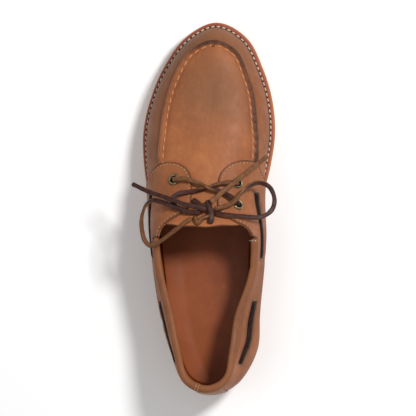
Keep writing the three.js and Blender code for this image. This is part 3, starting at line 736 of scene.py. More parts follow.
knot, _, _ = addLace("bowKnot", ("knotWrap", "knotAcross", "knotFold"), ("lace_knot",), 1, 1.2)
crossing, _, _ = addLace("laceCrossing", ("crossUnder", "crossOver"), ("lace_cross",), 5)
cords = (
    ("bowLoopLeft", "loopLeft", "lace_loop_left", "object"),
    ("bowEndLeft", "endLeft", "lace_end_left", "bare"),
    ("bowLoopRight", "loopRight", "lace_loop_right", "object"),
    ("bowEndRight", "endRight", "lace_end_right", "bare"),
)
for k, (name, route, node, farEnd) in enumerate(cords):
    piece, path, length = addLace(name, (route,), (node,), 3 + k)
    print(name, "is", round(length / mm), "mm long")


# The sole: two moulded layers that follow the same outline
sole = {
    "rowStep": 0.5 * mm,
    "across": 40,
    "grooveWidth": 2.6 * mm,
    "grooveDepth": 2.0 * mm,
    "grooveRim": 7.0 * mm,
    "treads": ((-0.131, -0.088, 4), (0.0, 0.122, 9)),
    "sipePitch": 3.05 * mm,
    "sipeDepth": 0.7 * mm,
    "sipeWave": 0.9 * mm,
    "sipeLength": 9.0 * mm,
    "bandOut": 1.0 * mm,
}


def evenPlaces(step):  # places up one side of the shoe, evenly spaced along the outline
    s = np.linspace(0, half, 1200)
    run = np.zeros(len(s))
    for side in (s, ringCount - s):
        run[1:] += np.cumsum(np.linalg.norm(np.diff(planPoint(side % ringCount), axis=0), axis=1)) / 2
    return np.interp(np.linspace(0, run[-1], int(run[-1] / step) + 1), run, s)


def ringPlaces(step):
    side = evenPlaces(step)
    return np.concatenate([side, ringCount - side[-2:0:-1]])


def layerRing(s, out, height):
    p = planPoint(s) + planNormal(s) * out[:, None]
    return np.concatenate([p, height(p[:, 1])[:, None]], -1)


def layerPiece(name, rings, step, finish, replaced, relief=None, across=1):
    s = ringPlaces(step)
    count = len(s)
    rows = count // 2 + 1
    loops = [layerRing(s, out(s), height) for out, height in rings]
    verts = np.vstack(loops)
    faces = gridFaces(len(loops), count, closed=True)
    extra = []
    for ring, columns, shaped in ((0, across, relief), (len(loops) - 1, 1, None)):
        left = loops[ring][1:rows - 1]
        right = loops[ring][count - np.arange(1, rows - 1)]
        ids = np.zeros((rows - 2, columns + 1), int)
        ids[:, 0] = ring * count + np.arange(1, rows - 1)
        ids[:, -1] = ring * count + count - np.arange(1, rows - 1)
        if columns > 1:
            t = np.linspace(0, 1, columns + 1)[1:-1, None]
            inner = left[:, None] * (1 - t) + right[:, None] * t
            if shaped is not None:
                width = np.linalg.norm(right - left, axis=1)[:, None]
                edge = np.minimum(t[None, :, 0], 1 - t[None, :, 0]) * width
                inner[..., 2] += shaped(inner[..., 0], inner[..., 1], edge)
            ids[:, 1:-1] = len(verts) + sum(len(e) for e in extra) + np.arange(inner.shape[0] * (columns - 1)).reshape(
                inner.shape[0], columns - 1)
            extra.append(inner.reshape(-1, 3))
        quads = np.stack([ids[:-1, :-1], ids[:-1, 1:], ids[1:, 1:], ids[1:, :-1]], -1).reshape(-1, 4)
        faces += quads.tolist()
        for tip, row in ((ring * count, ids[0]), (ring * count + rows - 1, ids[-1])):
            faces += [[tip, row[k], row[k + 1]] for k in range(columns)]
    verts = np.vstack([verts] + extra)
    piece = newPiece(name, verts, faces, finish, replaced=replaced)
    outwards(piece)
    return piece


def weltOut(inset):
    return lambda s: column("welt", s) * mm - inset


def treadRelief(x, y, edge):  # cut grooves with fine wavy sipes between them
    bend = sole["sipeWave"] * np.sin(2 * math.pi * x / sole["sipeLength"])
    inside = np.clip((edge - sole["grooveRim"]) / (0.8 * mm), 0, 1)
    depth = np.zeros_like(x)
    for low, high, count in sole["treads"]:
        for centre in np.linspace(low, high, count):
            away = np.abs(y - centre) - sole["grooveWidth"] / 2
            depth = np.maximum(depth, sole["grooveDepth"] * np.clip(0.5 - away / (0.5 * mm), 0, 1))
        within = (y > low - 0.012) & (y < high + 0.012)
        phase = np.abs(((y + bend) / sole["sipePitch"]) % 1 - 0.5)
        sipe = sole["sipeDepth"] * np.clip((phase - 0.32) / 0.12, 0, 1)
        depth = np.maximum(depth, np.where(within, sipe, 0))
    return depth * inside


def outsoleTop(y):
    return soleTop(y) - shoe["midsole"] - shoe["gap"]


def sideHeight(share):
    return lambda y: (soleBottom(y) + 3 * mm) * (1 - share) + (outsoleTop(y) - 0.7 * mm) * share


def floorHeight(lift):
    return lambda y: soleBottom(y) + lift * mm


outsoleRings = [(weltOut(inset * mm), floorHeight(lift)) for inset, lift in (
    (2.4, 0), (1.7, 0.05), (1.2, 0.3), (0.7, 0.8), (0.35, 1.5), (0.1, 2.3), (0, 3),
)]
outsoleRings += [(weltOut(inset * mm), sideHeight(share)) for share, inset in (
    (0.36, 0), (0.42, 0.1), (0.46, 0.4), (0.54, 0.4), (0.58, 0.1), (0.64, 0), (1, 0),
)]
outsoleRings += [(weltOut(inset * mm), lambda y, drop=drop: outsoleTop(y) - drop * mm) for drop, inset in (
    (0.35, 0.08), (0.12, 0.3), (0, 0.7), (0, 3),
)]
outsole = layerPiece(
    "outsoleRubber", outsoleRings, sole["rowStep"], "outsoleRubber", ("outsole",),
    treadRelief, sole["across"],
)

bandRings = [(weltOut(sole["bandOut"] + inset * mm), lambda y, k=share, d=drop: soleTop(y) - shoe["midsole"] * k - d * mm)
             for share, drop, inset in (
    (1, 0, 0.7), (1, -0.15, 0.3), (1, -0.6, 0.05), (0.66, 0, 0), (0.6, 0, 0.25), (0.54, 0, 0.25), (0.48, 0, 0),
    (0, 0.6, 0), (0, 0.2, 0.12), (0, 0, 0.5), (0, 0, 4),
)]
band = layerPiece("weltBand", bandRings, 0.9 * mm, "weltRubber", ("midsole",))
print("sole made")


# The insole, slightly dished, with a soft rolled edge
insole = {"inset": 2.6 * mm, "dish": 1.1 * mm, "step": 1.6 * mm, "across": 36}


def insoleDish(x, y, edge):
    return -insole["dish"] * np.clip(edge / (14 * mm), 0, 1) ** 2 + 0.35 * mm * np.exp(-((y - 0.03) / 0.02) ** 2)


insoleRings = [(lambda s, i=inset: 0 * s - insole["inset"] - i * mm, lambda y, k=lift: soleTop(y) + shoe["gap"] + k * mm)
               for inset, lift in ((1.2, 4), (0.4, 3.85), (0, 3.3), (0, 0.4), (0.4, 0))]
insolePiece = layerPiece(
    "insoleLeather", insoleRings, insole["step"], "insoleLeather", ("insole",),
    insoleDish, insole["across"],
)
xyz = np.empty(len(insolePiece.data.vertices) * 3)
insolePiece.data.vertices.foreach_get("co", xyz)
xyz = xyz.reshape(-1, 3)
pointAttribute(insolePiece, "shade", np.clip((xyz[:, 0] - 0.002) / 0.05, 0, 1) * 0.55 + np.clip((xyz[:, 1] + 0.03) / 0.05, 0, 1) * 0.4)


# The upper: the vamp's wall turned out onto the sole, the lining inside it, the apron that runs on as the tongue
upper = {
    "columnStep": 1.1 * mm,
    "wallRows": 44,
    "flange": 0.44,
    "flangeThick": 1.1 * mm,
    "outerShare": 1.1 * mm,
    "seamEnd": 6.98,
    "throatLateral": -0.033,
    "throatMedial": 0.038,
    "tongueBack": -0.0132,
}


def seamInsetAt(s):
    return smoothly(seamLine["place"], seamLine["inset"], s) * mm


def wallTop(s):  # the level where the wall ends: under the collar roll behind, under the seam in front
    rollLevel = levelAtHeight(s, 0, lambda y: topline(y) - shoe["rollHeight"] / 2)
    seamLevel = levelInwards(s, seamInsetAt(s))
    y = planPoint(s)[:, 1]
    share = np.clip((y - shoe["rollFront"]) / 0.033, 0, 1)
    return rollLevel * (1 - share) + seamLevel * share


def wrinkles(p, troughs, strength=1.0):  # soft troughs: each from a to b, so wide and so deep
    depth = np.zeros(len(p))
    for (ax, ay, az), (bx, by, bz), width, deep in troughs:
        a = np.array((ax, ay, az)) * mm
        run = np.array((bx, by, bz)) * mm - a
        t = np.clip(((p - a) @ run) / (run @ run), 0, 1)
        away = np.linalg.norm(p - a - t[:, None] * run, axis=1)
        fade = np.sin(np.clip(t, 0.02, 0.98) * math.pi) ** 0.5
        depth += strength * deep * mm * fade * np.exp(-((away / (width * mm)) ** 2))
    return depth


vampCreases = (
    ((-47, 40, 18), (-46, 38, 34), 2.2, -0.55), ((-49, 62, 17), (-45, 60, 34), 2.6, -0.4),
    ((46, 44, 18), (44, 42, 34), 2.2, -0.5), ((50, 66, 17), (46, 63, 33), 2.6, -0.4),
    ((-47, 51, 20), (-44, 50, 32), 3.0, 0.4), ((49, 55, 20), (45, 53, 32), 3.0, 0.4),
)

s = ringPlaces(upper["columnStep"])
top = wallTop(s)
rows = np.linspace(0, 1, upper["wallRows"])
levels = top[None, :] * (rows[:, None] ** 1.15)
wallPoints = form(s[None, :], levels, 0.0)
flat = wallPoints.reshape(-1, 3)
normals = normalAt(np.tile(s, len(rows)), np.clip(levels.reshape(-1), 0.01, 0.985), 0.0)
flat += normals * wrinkles(flat, vampCreases)[:, None]
footZ = wallPoints[0, :, 2]
reach = column("welt", s) * mm * upper["flange"]
flangeRows = []
for out, lift in ((1, 0.05), (1, 0.75), (0.88, 1.0), (0.55, 1.05), (0.3, 1.12), (0.12, 1.4)):
    ring = layerRing(s, reach * out, soleTop)
    ring[:, 2] += lift * upper["flangeThick"]
    flangeRows.append(ring)
lifted = flat.reshape(len(rows), len(s), 3)[1:]
keep = lifted[:, :, 2].min(1) > 0
wallRings = np.concatenate([np.stack(flangeRows), lifted[lifted[:, :, 2].mean(1) > (footZ.mean() + 2.2 * mm)]])
verts = wallRings.reshape(-1, 3)
vampWall = newPiece(
    "vampWall", verts, turned(gridFaces(len(wallRings), len(s), closed=True)), "vampLeather", replaced=("upper",),
)
seamAway = np.linspace(0, 1, len(wallRings))[:, None] * np.ones(len(s))
y = wallRings[..., 1]
x = wallRings[..., 0]
# Painted marks on the wall: darker towards the top, a painted shadow under the seam ridge and the collar roll; darker
# just above the flange, painted shade where the wall meets the sole; darkest in the slots where the side lace runs,
# painted shade.
nearSeam = np.clip((seamAway - 0.72) / 0.28, 0, 1) ** 1.5
row = np.arange(len(wallRings))[:, None] * np.ones(len(s))
nearSole = np.where(row < 5, 0.12, 0.75 * np.exp(-(row - 5) / 1.6) * (row >= 5))
slot = np.exp(-((wallRings[..., 2] - laceHeight(y)) / (3.4 * mm)) ** 6)
inSlot = np.zeros_like(slot)
for low, high in ((-0.124, -0.075), (-0.04, 0.012)):
    inSlot = np.maximum(inSlot, slot * np.clip((y - low + 3 * mm) / mm, 0, 1) * np.clip((high - y + 3 * mm) / mm, 0, 1))
pointAttribute(vampWall, "burnishAndShade", np.maximum(0.3 * nearSeam + nearSole, inSlot * 1.3).reshape(-1))
# Greyer on the lateral side, a painted sky reflection, and greyer round the toe.
pointAttribute(vampWall, "greyToneAndSheen", (0.3 * np.clip((-x + 0.005) / 0.03, 0, 1) + 0.5 * np.clip((y - 0.1) / 0.03, 0, 1)).reshape(-1))
thicken(vampWall, upper["outerShare"], 0)

lining = {"rows": 40, "step": 1.6 * mm, "thick": 0.9 * mm}
s = ringPlaces(lining["step"])
y = planPoint(s)[:, 1]
rollLevel = levelAtHeight(s, -shoe["wall"], lambda y: topline(y) - shoe["rollHeight"] / 2)
edgeLevel = levelAtHeight(s, -shoe["wall"], lambda y: topline(y) - 0.0008)
share = np.clip((y - shoe["rollFront"]) / 0.004, 0, 1)
topLevel = rollLevel * (1 - share) + edgeLevel * share
share = np.clip((y + 0.0145) / 0.006, 0, 1)
topLevel = topLevel * (1 - share) + 0.999 * share
levels = topLevel[None, :] * np.linspace(0, 1, lining["rows"])[:, None]
points = form(s[None, :], levels, -shoe["wall"])
liningPiece = newPiece(
    "lining", points.reshape(-1, 3), gridFaces(lining["rows"], len(s), closed=True), "liningLeather",
    replaced=("upper",),
)
x, y, z = (points[..., k].reshape(-1) for k in range(3))
pointAttribute(liningPiece, "shade", 0.5 * np.clip((y + 0.02) / 0.03, 0, 1) + 0.35 * np.clip(x / 0.03, 0, 1))
thicken(liningPiece, lining["thick"], 0, offset=1.0)


def formTree():  # the form as a dense net, to set plan points on
    s = np.linspace(0, ringCount, ringCount * 24, endpoint=False)
    v = 1 - (1 - np.linspace(0, 1, 160)) ** 1.4
    points = form(s[None, :], v[:, None], 0.0)
    return BVHTree.FromPolygons(
        [Vector(p) for p in points.reshape(-1, 3)], gridFaces(len(v), len(s), closed=True))


formNet = formTree()


def heightAbove(x, y):
    hit = formNet.ray_cast(Vector((x, y, 0.3)), Vector((0, 0, -1)))[0]
    return hit.z if hit else float("nan")


apron = {"across": 96, "seamRows": 190, "tongueRows": 40, "edgeWave": 0.5 * mm, "thick": 2.0 * mm}


def throatEdge(t):  # the tongue's free back edge in the plan, slightly wavy
    return upper["tongueBack"] + apron["edgeWave"] * (np.sin(t * 9.0 + 0.6) + 0.7 * np.sin(t * 21.0)) - 0.0006 * np.sin(math.pi * t)


t = np.linspace(0, 1, apron["across"])
places = half - (half - upper["seamEnd"]) * np.linspace(0.011, 1, apron["seamRows"]) ** 1.35
left = form(places, levelInwards(places, seamInsetAt(places) - 0.4 * mm), 0.0)
right = form(ringCount - places, levelInwards(ringCount - places, seamInsetAt(ringCount - places) - 0.4 * mm), 0.0)
planRows = [left[:, None, :2] * (1 - t[None, :, None]) + right[:, None, :2] * t[None, :, None]]
lastRow = planRows[0][-1]
back = np.stack([upper["throatLateral"] + (upper["throatMedial"] - upper["throatLateral"]) * t, throatEdge(t)], -1)
share = np.linspace(0, 1, apron["tongueRows"])[1:, None, None]
planRows.append(lastRow[None] * (1 - share) + back[None] * share)
plan = np.concatenate(planRows)
z = np.array([[heightAbove(px, py) for px, py in row] for row in plan])
fallback = np.array([left[:, 2], right[:, 2]]).mean(0)
for j in range(len(z)):
    bad = np.isnan(z[j])
    if bad.all():
        z[j] = fallback[min(j, len(fallback) - 1)]
    elif bad.any():
        z[j][bad] = np.interp(np.flatnonzero(bad), np.flatnonzero(~bad), z[j][~bad])
for _ in range(6):
    z[1:-1, 1:-1] = (z[1:-1, 1:-1] * 4 + z[:-2, 1:-1] + z[2:, 1:-1] + z[1:-1, :-2] + z[1:-1, 2:]) / 8
z[:4] -= np.array((0.9, 0.7, 0.4, 0.15))[:, None] * mm
points = np.concatenate([plan, z[..., None]], -1)
apronCreases = (
    ((-20, 34, 62), (22, 36, 62), 4.5, -0.35), ((-18, 46, 58), (24, 48, 58), 5.0, -0.25),
    ((-8, 28, 66), (10, 26, 66), 3.0, -0.3), ((-14, 2, 76), (16, -2, 78), 5.0, -0.5),
    ((-10, -9, 80), (14, -8, 80), 2.4, 0.4),
)
points[..., 2] += wrinkles(points.reshape(-1, 3) * (1, 1, 1), apronCreases).reshape(points.shape[:2])
curl = np.clip((-0.004 - points[..., 1]) / 0.0092, 0, 1)
points[..., 2] += 0.9 * mm * curl**2 * (0.6 + 0.4 * np.sin(t * 12 + 0.8))[None, :]
apronPiece = newPiece(
    "apronAndTongue", points.reshape(-1, 3), turned(gridFaces(len(points), apron["across"])), "upperLeather",
    replaced=("tongue", "upper"),
)
edge = np.minimum(t, 1 - t)[None, :] * np.linalg.norm(plan[:, -1] - plan[:, 0], axis=1)[:, None]
front = np.clip((points[..., 1] - 0.02) / 0.01, 0, 1)
nearSeam = np.clip(1 - edge / (6 * mm), 0, 1) ** 1.5 * front
# Darker along the seam towards the toe.
pointAttribute(apronPiece, "burnishAndShade", (0.3 * nearSeam).reshape(-1))
# A grey patch over the front of the apron: the leather's smoky tone and a painted sheen.
pointAttribute(apronPiece, "greyToneAndSheen", (0.7 * np.exp(-(((points[..., 1] - 0.094) / 0.03) ** 2 + ((points[..., 0] - 0.008) / 0.026) ** 2))).reshape(-1))
bm = bmesh.new()
bm.from_mesh(apronPiece.data)
bmesh.ops.remove_doubles(bm, verts=bm.verts, dist=0.02 * mm)
bm.to_mesh(apronPiece.data)
bm.free()
thicken(apronPiece, apron["thick"], 0.5 * mm, rim="cutEdge")
print("upper made")


# The raised moccasin seam, pinched at every stitch
mocSeam = {
    "step": 0.7 * mm,
    "stitch": 6.4 * mm,
    "pinch": 0.22,
    "section": (
        (-1.4, -1.0), (-0.7, 0.1), (-0.25, 0.35), (0.15, 0.15), (0.45, 0.55), (0.9, 1.3), (1.5, 1.8), (2.2, 1.98),
        (3.0, 1.85), (3.7, 1.3), (4.2, 0.55), (4.6, 0.0), (5.2, -0.35), (5.4, -1.2),
    ),
}


def seamPlaces(step):
    s = np.linspace(ringCount - upper["seamEnd"], upper["seamEnd"], 2000)
    line = form(s, levelInwards(s, seamInsetAt(s)), 0.0)
    run = np.concatenate([[0], np.cumsum(np.linalg.norm(np.diff(line, axis=0), axis=1))])
    count = int(run[-1] / step)
    even = np.linspace(0, run[-1], count)
    return np.interp(even, run, s), even


s, run = seamPlaces(mocSeam["step"])
settle = np.clip(np.minimum(run, run[-1] - run) / (5 * mm), 0.35, 1)
wave = 0.5 - 0.5 * np.cos(2 * math.pi * run / mocSeam["stitch"])
rings = []
for across, up in mocSeam["section"]:
    inner = np.exp(-((across - 0.9) / 1.2) ** 2)
    lift = np.where(up > 0, up * (1 - mocSeam["pinch"] * (1 - wave) * (0.35 + inner)), up) * settle
    shift = 0.3 * (1 - wave) * inner
    rings.append(form(s, levelInwards(s, seamInsetAt(s) - (across + shift) * mm), lift * mm))
points = np.stack(rings, 1)
count = len(mocSeam["section"])
faces = gridFaces(len(s), count, closed=True)
faces.append(list(range(count))[::-1])
faces.append([(len(s) - 1) * count + k for k in range(count)])
ridge = newPiece("mocSeamRidge", points.reshape(-1, 3), faces, "upperLeather", replaced=("upper",))
outwards(ridge)
# The ridge's painted marks: a dark band over the ridge, weak on the lateral side and strong on the medial side and
# round the toe, which is burnish plus painted shade on the flank turned from the light; on the lateral side a dark line
# at its outer foot, a painted shadow in the groove; on the medial side and toe a pale line at the outer edge, a worn
# edge plus a painted highlight.
across = np.array([a for a, _ in mocSeam["section"]])
dark = np.clip((across - 0.2) / 0.8, 0, 1) * np.clip((5.2 - across) / 0.5, 0, 1)
line = np.exp(-((across - 4.7) / 0.5) ** 2)
side = np.clip((s - half + 1.6) / 1.2, 0, 1)
burnAndShade = (0.2 + 0.6 * side)[:, None] * dark[None, :] + (1 - side)[:, None] * line[None, :] * 0.75
pointAttribute(ridge, "burnishAndShade", burnAndShade.reshape(-1))
pointAttribute(ridge, "wearAndPaintedLight", (0.7 * side[:, None] * line[None, :]).reshape(-1))
pointAttribute(ridge, "greyToneAndSheen", np.zeros(points.shape[0] * count))

# The quarters: overlays cut to their outline, with their eyelet tabs and the slots for the side lace
quarter = {
    "grid": 1.6 * mm,
    "edgeStep": 0.9 * mm,
    "laceReach": shoe["laceWidth"] / 2 + 1.5 * mm,
    "windows": ((-0.124, -0.075), (-0.04, 0.012)),
}
lateralTab = (
    (-42, 31), (-34, 36.4), (-27, 37.2), (-20, 36), (-14, 32.8), (-10.4, 28), (-8.6, 22), (-8.8, 6), (-10.6, 0),
    (-17.5, -4.9), (-26.4, -9.6), (-33.4, -16), (-35.4, -22),
)
medialTab = (
    (42, 36.5), (36, 38.4), (28.5, 38), (21.5, 35.6), (16, 31), (13.3, 25.5), (12.6, 20), (12.8, 0),
    (15.2, -4.4), (21, -7.6), (28.7, -11.6), (35.2, -15), (39, -19.4), (40, -22),
)
eyelets = (
    ("eyelet_lateral_front", -0.0234, 0.0226, (6.5, 0.6)),
    ("eyelet_lateral_rear", -0.0228, 0.0035, (5.9, 0.6)),
    ("eyelet_medial_front", 0.0274, 0.02, (17.5, 0.6)),
    ("eyelet_medial_rear", 0.0282, 0.0028, (18.1, 0.6)),
)


def placeAt(isMedial, y, height):  # the place round the shoe whose wall stands at y
    low, high = 0.2, half - 0.2
    for _ in range(26):
        s = (low + high) / 2
        at = ringCount - s if isMedial else s
        level = levelAtHeight(np.array([at]), 0.0, lambda yy: yy * 0 + height)
        p = form(np.array([at]), level, 0.0)[0]
        low, high = (s, high) if p[1] < y else (low, s)
    return ringCount - low if isMedial else low


def resampled(points, step, scale):
    p = np.array(points, float)
    run = np.concatenate([[0], np.cumsum(np.linalg.norm(np.diff(p * scale, axis=0), axis=1))])
    even = np.linspace(0, run[-1], max(2, int(run[-1] / step) + 1))
    return np.stack([np.interp(even, run, p[:, k]) for k in range(2)], -1)


def rounded(points, passes=2):  # corners cut twice, ends kept
    p = np.array(points, float)
    for _ in range(passes):
        mid = np.concatenate([p[:-1] * 0.75 + p[1:] * 0.25, p[:-1] * 0.25 + p[1:] * 0.75], 1).reshape(-1, 2)
        p = np.vstack([p[:1], mid[1:-1], p[-1:]])
    return p


flatScale = np.array((24.0 * mm, 84.0 * mm))  # a place and a level as lengths, near enough


def quarterOutline(isMedial):  # the outline as places and levels, running round the piece once
    tab = medialTab if isMedial else lateralTab
    guess = (17.0, 0.45) if isMedial else (7.0, 0.45)
    line = []
    for x, y in tab:
        guess = placeAbove(x * mm, y * mm, facingTop, guess)
        line.append(guess)
    footY = 0.017 if isMedial else 0.0135
    s = np.linspace(0, half, 2000)
    foot = s[np.argmin(np.abs(planPoint(s)[:, 1] - footY))]
    foot = ringCount - foot if isMedial else foot
    first = line[0]
    wallEdge = [(foot, 0.0), (foot * 0.82 + first[0] * 0.18, first[1] * 0.22), (foot * 0.5 + first[0] * 0.5, first[1] * 0.62)]
    front = rounded(wallEdge + line)
    heelEnd = ringCount - 0.36 if isMedial else 0.36
    collar = np.linspace(line[-1][0], heelEnd, 500)
    level = levelAtHeight(collar, facingTop, lambda y: topline(y) - shoe["rollHeight"] * 0.55)
    top = np.stack([collar, level], -1)
    top = top[form(collar, level, facingTop)[:, 1] < shoe["rollFront"] - 0.001]
    foot0 = np.stack([np.linspace(heelEnd, foot, 60), np.zeros(60)], -1)
    ring = np.vstack([front, top, foot0])
    return resampled(ring, quarter["edgeStep"], flatScale)[:-1], front


def windowOutline(isMedial, low, high):
    ends = [placeAt(isMedial, y, laceHeight(y)) for y in (low, high)]
    s = np.linspace(ends[0], ends[1], 60)
    under = levelAtHeight(s, facingTop, lambda y: laceHeight(y) - quarter["laceReach"])
    over = levelAtHeight(s, facingTop, lambda y: laceHeight(y) + quarter["laceReach"])
    ring = np.vstack([np.stack([s, under], -1), np.stack([s, over], -1)[::-1]])
    return resampled(np.vstack([ring, ring[:1]]), quarter["edgeStep"], flatScale)[:-1]


def eyeletOutline(x, y, guess, radius):
    place = placeAbove(x, y, facingTop, guess)
    p = form(*place, facingTop)
    n = normalAt(np.array(place[0]), np.array(place[1]), facingTop)
    n = n if n[2] > 0 else -n
    a = np.cross(n, (0, 1, 0))
    a /= np.linalg.norm(a)
    b = np.cross(n, a)
    ring = []
    for k in range(20):
        angle = 2 * math.pi * k / 20
        q = p + radius * (a * math.cos(angle) + b * math.sin(angle))
        ring.append(placeAbove(q[0], q[1], facingTop, place))
    return np.array(ring), p, n


def insideOf(points, ring):  # which points lie inside a closed outline
    x, y = points[:, 0], points[:, 1]
    inside = np.zeros(len(points), bool)
    for (x1, y1), (x2, y2) in zip(ring, np.roll(ring, -1, axis=0)):
        crosses = (y1 > y) != (y2 > y)
        at = x1 + (y - y1) * (x2 - x1) / (y2 - y1 if y2 != y1 else 1e-12)
        inside ^= crosses & (x < at)
    return inside


def awayFrom(points, ring):
    nearest = np.full(len(points), np.inf)
    for start in range(0, len(ring), 64):
        part = ring[start:start + 64]
        nearest = np.minimum(nearest, np.linalg.norm(points[:, None] - part[None], axis=2).min(1))
    return nearest


def cutSheet(outline, holes, step):  # a net inside the outline and outside the holes, edges exact
    ring = outline * flatScale
    gaps = [hole * flatScale for hole in holes]
    low, high = ring.min(0), ring.max(0)
    gx, gy = np.meshgrid(np.arange(low[0], high[0], step), np.arange(low[1], high[1], step * 0.87), indexing="ij")
    gx[:, ::2] += step / 2
    points = np.stack([gx.ravel(), gy.ravel()], -1)
    keep = insideOf(points, ring)
    points = points[keep]
    near = awayFrom(points, ring)
    for gap in gaps:
        near = np.minimum(near, awayFrom(points, gap))
        near[insideOf(points, gap)] = 0
    points = points[near > step * 0.55]
    edges, start = [], 0
    for loop in [ring] + gaps:
        edges += [(start + k, start + (k + 1) % len(loop)) for k in range(len(loop))]
        start += len(loop)
    every = np.vstack([ring] + gaps + [points])
    made = geometry.delaunay_2d_cdt([Vector(p) for p in every], edges, [], 0, 1e-9)
    verts = np.array([tuple(v) for v in made[0]])
    faces = np.array([f for f in made[2] if len(f) == 3])
    centre = verts[faces].mean(1)
    keep = insideOf(centre, ring)
    for gap in gaps:
        keep &= ~insideOf(centre, gap)
    faces = faces[keep]
    used = np.unique(faces)
    index = np.full(len(verts), -1)
    index[used] = np.arange(len(used))
    flatPoints = verts[used]
    edgeAway = awayFrom(flatPoints, ring)
    holeAway = np.full(len(used), 1.0)
    for gap in gaps:
        holeAway = np.minimum(holeAway, awayFrom(flatPoints, gap))
    return flatPoints / flatScale, index[faces].tolist(), edgeAway, holeAway


quarterCreases = {
    False: (
        ((-46, -12, 24), (-40, -20, 52), 3.0, -0.6), ((-45, -30, 24), (-38, -34, 50), 3.4, -0.4),
        ((-44, 4, 58), (-30, -6, 70), 3.2, -0.5), ((-41, 24, 52), (-32, 12, 63), 2.8, -0.35),
        ((-37, -90, 26), (-34, -96, 46), 3.0, -0.45), ((-34, 6, 66), (-26, 14, 70), 2.6, 0.35),
    ),
    True: (
        ((44, -14, 24), (40, -22, 52), 3.0, -0.6), ((46, -40, 26), (41, -44, 50), 3.6, -0.45),
        ((42, 6, 58), (31, -4, 70), 3.0, -0.6), ((41, 22, 52), (33, 12, 63), 2.8, -0.4),
        ((38, -96, 28), (36, -100, 48), 3.0, -0.5), ((40, -4, 60), (36, 2, 66), 2.6, 0.5),
    ),
}
eyeletSeats = {}
quarterFronts = {}
for isMedial, side in ((False, "lateral"), (True, "medial")):
    outline, quarterFronts[side] = quarterOutline(isMedial)
    holes = [windowOutline(isMedial, low, high) for low, high in quarter["windows"]]
    for name, x, y, guess in eyelets:
        if side in name:
            ring, seat, normal = eyeletOutline(x, y, guess, 3.4 * mm)
            holes.append(ring)
            eyeletSeats[name] = (seat, normal)
    sheet, faces, edgeAway, holeAway = cutSheet(outline, holes, quarter["grid"])
    points = form(sheet[:, 0], sheet[:, 1], facingTop)
    normals = normalAt(sheet[:, 0], np.clip(sheet[:, 1], 0.005, 0.985), facingTop)
    points += normals * wrinkles(points, quarterCreases[isMedial], 1.5)[:, None]
    name = "quarterLateral" if not isMedial else "quarterMedial"
    piece = newPiece(name, points, faces, "quarterLeather", replaced=("quarter_" + side,))
    # Painted marks: darker along the cut edges, a burnished edge and a painted shadow under the overlay's edge; darker
    # round the slots and eyelet holes, painted shade; darker towards the sole and lower down away from the heel.
    burnAndShade = 0.75 * np.clip(1 - edgeAway / (1.7 * mm), 0, 1) + 0.6 * np.clip(1 - holeAway / (1.8 * mm), 0, 1)
    burnAndShade += 0.3 * np.clip(1 - (points[:, 2] - soleTop(points[:, 1])) / (12 * mm), 0, 1)
    burnAndShade += 0.2 * np.clip((60 * mm - points[:, 2]) / (22 * mm), 0, 1) * np.clip((points[:, 1] + 0.1) / 0.04, 0, 1)
    pointAttribute(piece, "burnishAndShade", np.clip(burnAndShade, 0, 1))
    # Greyer lower down.
    pointAttribute(piece, "greyToneAndSheen", 0.15 * np.clip((60 * mm - points[:, 2]) / (40 * mm), 0, 1))
    bm = bmesh.new()
    bm.from_mesh(piece.data)
    up = sum((f.normal.dot(Vector((f.calc_center_median().x, 0, 0.02))) for f in bm.faces))
    if up < 0:
        bmesh.ops.reverse_faces(bm, faces=bm.faces)
    bm.to_mesh(piece.data)
    bm.free()
    thicken(piece, shoe["overlay"], 0.35 * mm, rim="cutEdge")
print("quarters made")


# The padded collar roll round the topline
roll = {"step": 1.2 * mm, "sides": 16, "endLength": 5 * mm}
rollCreases = (
    ((-33, -62, 56), (-40, -58, 56), 2.2, -0.5), ((-36, -36, 60), (-44, -34, 56), 2.4, -0.5),
    ((33, -48, 58), (42, -46, 55), 2.2, -0.5), ((35, -66, 57), (42, -66, 54), 2.4, -0.35),
    ((-24, -112, 64), (-34, -110, 60), 2.6, -0.4), ((28, -104, 62), (38, -106, 58), 2.6, -0.4),
)


def formTube(s, grow, centre, width, height, sides, square=2.0):
    rings = []
    for k in range(sides):
        angle = 2 * math.pi * (k + 0.5) / sides
        c, d = math.cos(angle), math.sin(angle)
        out = width / 2 * math.copysign(abs(c) ** (2 / square), c)
        up = height / 2 * math.copysign(abs(d) ** (2 / square), d)
        level = levelAtHeight(s, grow + out, lambda y: centre(y) + up)
        rings.append(form(s, level, grow + out))
    return np.stack(rings, 1)


front = shoe["rollFront"] - 2 * shoe["gap"]
start = placeAt(True, front, laceHeight(front)) - ringCount
end = placeAt(False, front, laceHeight(front))
s = np.linspace(start, end, int(0.3 / roll["step"]))
share = np.arange(len(s))
ends = np.minimum(share, share[::-1]) * roll["step"] / roll["endLength"]
size = np.sqrt(np.clip(1 - (1 - np.clip(ends, 0, 1)) ** 2, 0.12, 1))
middle = (facingTop - shoe["wall"]) / 2
points = formTube(
    s, middle + 0 * s, lambda y: topline(y) - shoe["rollHeight"] / 2, shoe["rollWidth"] * size,
    shoe["rollHeight"] * size, roll["sides"],
)
centre = points.mean(1, keepdims=True)
out = points - centre
out /= np.linalg.norm(out, axis=2, keepdims=True)
flatPoints = points.reshape(-1, 3)
points = points + out * wrinkles(flatPoints, rollCreases).reshape(points.shape[:2])[..., None]
count = roll["sides"]
faces = gridFaces(len(s), count, closed=True)
faces.append(list(range(count))[::-1])
faces.append([(len(s) - 1) * count + k for k in range(count)])
rollPiece = newPiece("collarRoll", points.reshape(-1, 3), faces, "rollLeather", replaced=("collar_roll",))
outwards(rollPiece)
# Darker on the underside of the roll: painted shade.
low = np.clip(-out[..., 2], 0, 1)
pointAttribute(rollPiece, "burnishAndShade", (0.5 * low**2).reshape(-1))
pointAttribute(rollPiece, "greyToneAndSheen", np.full(len(points) * count, 0.25))

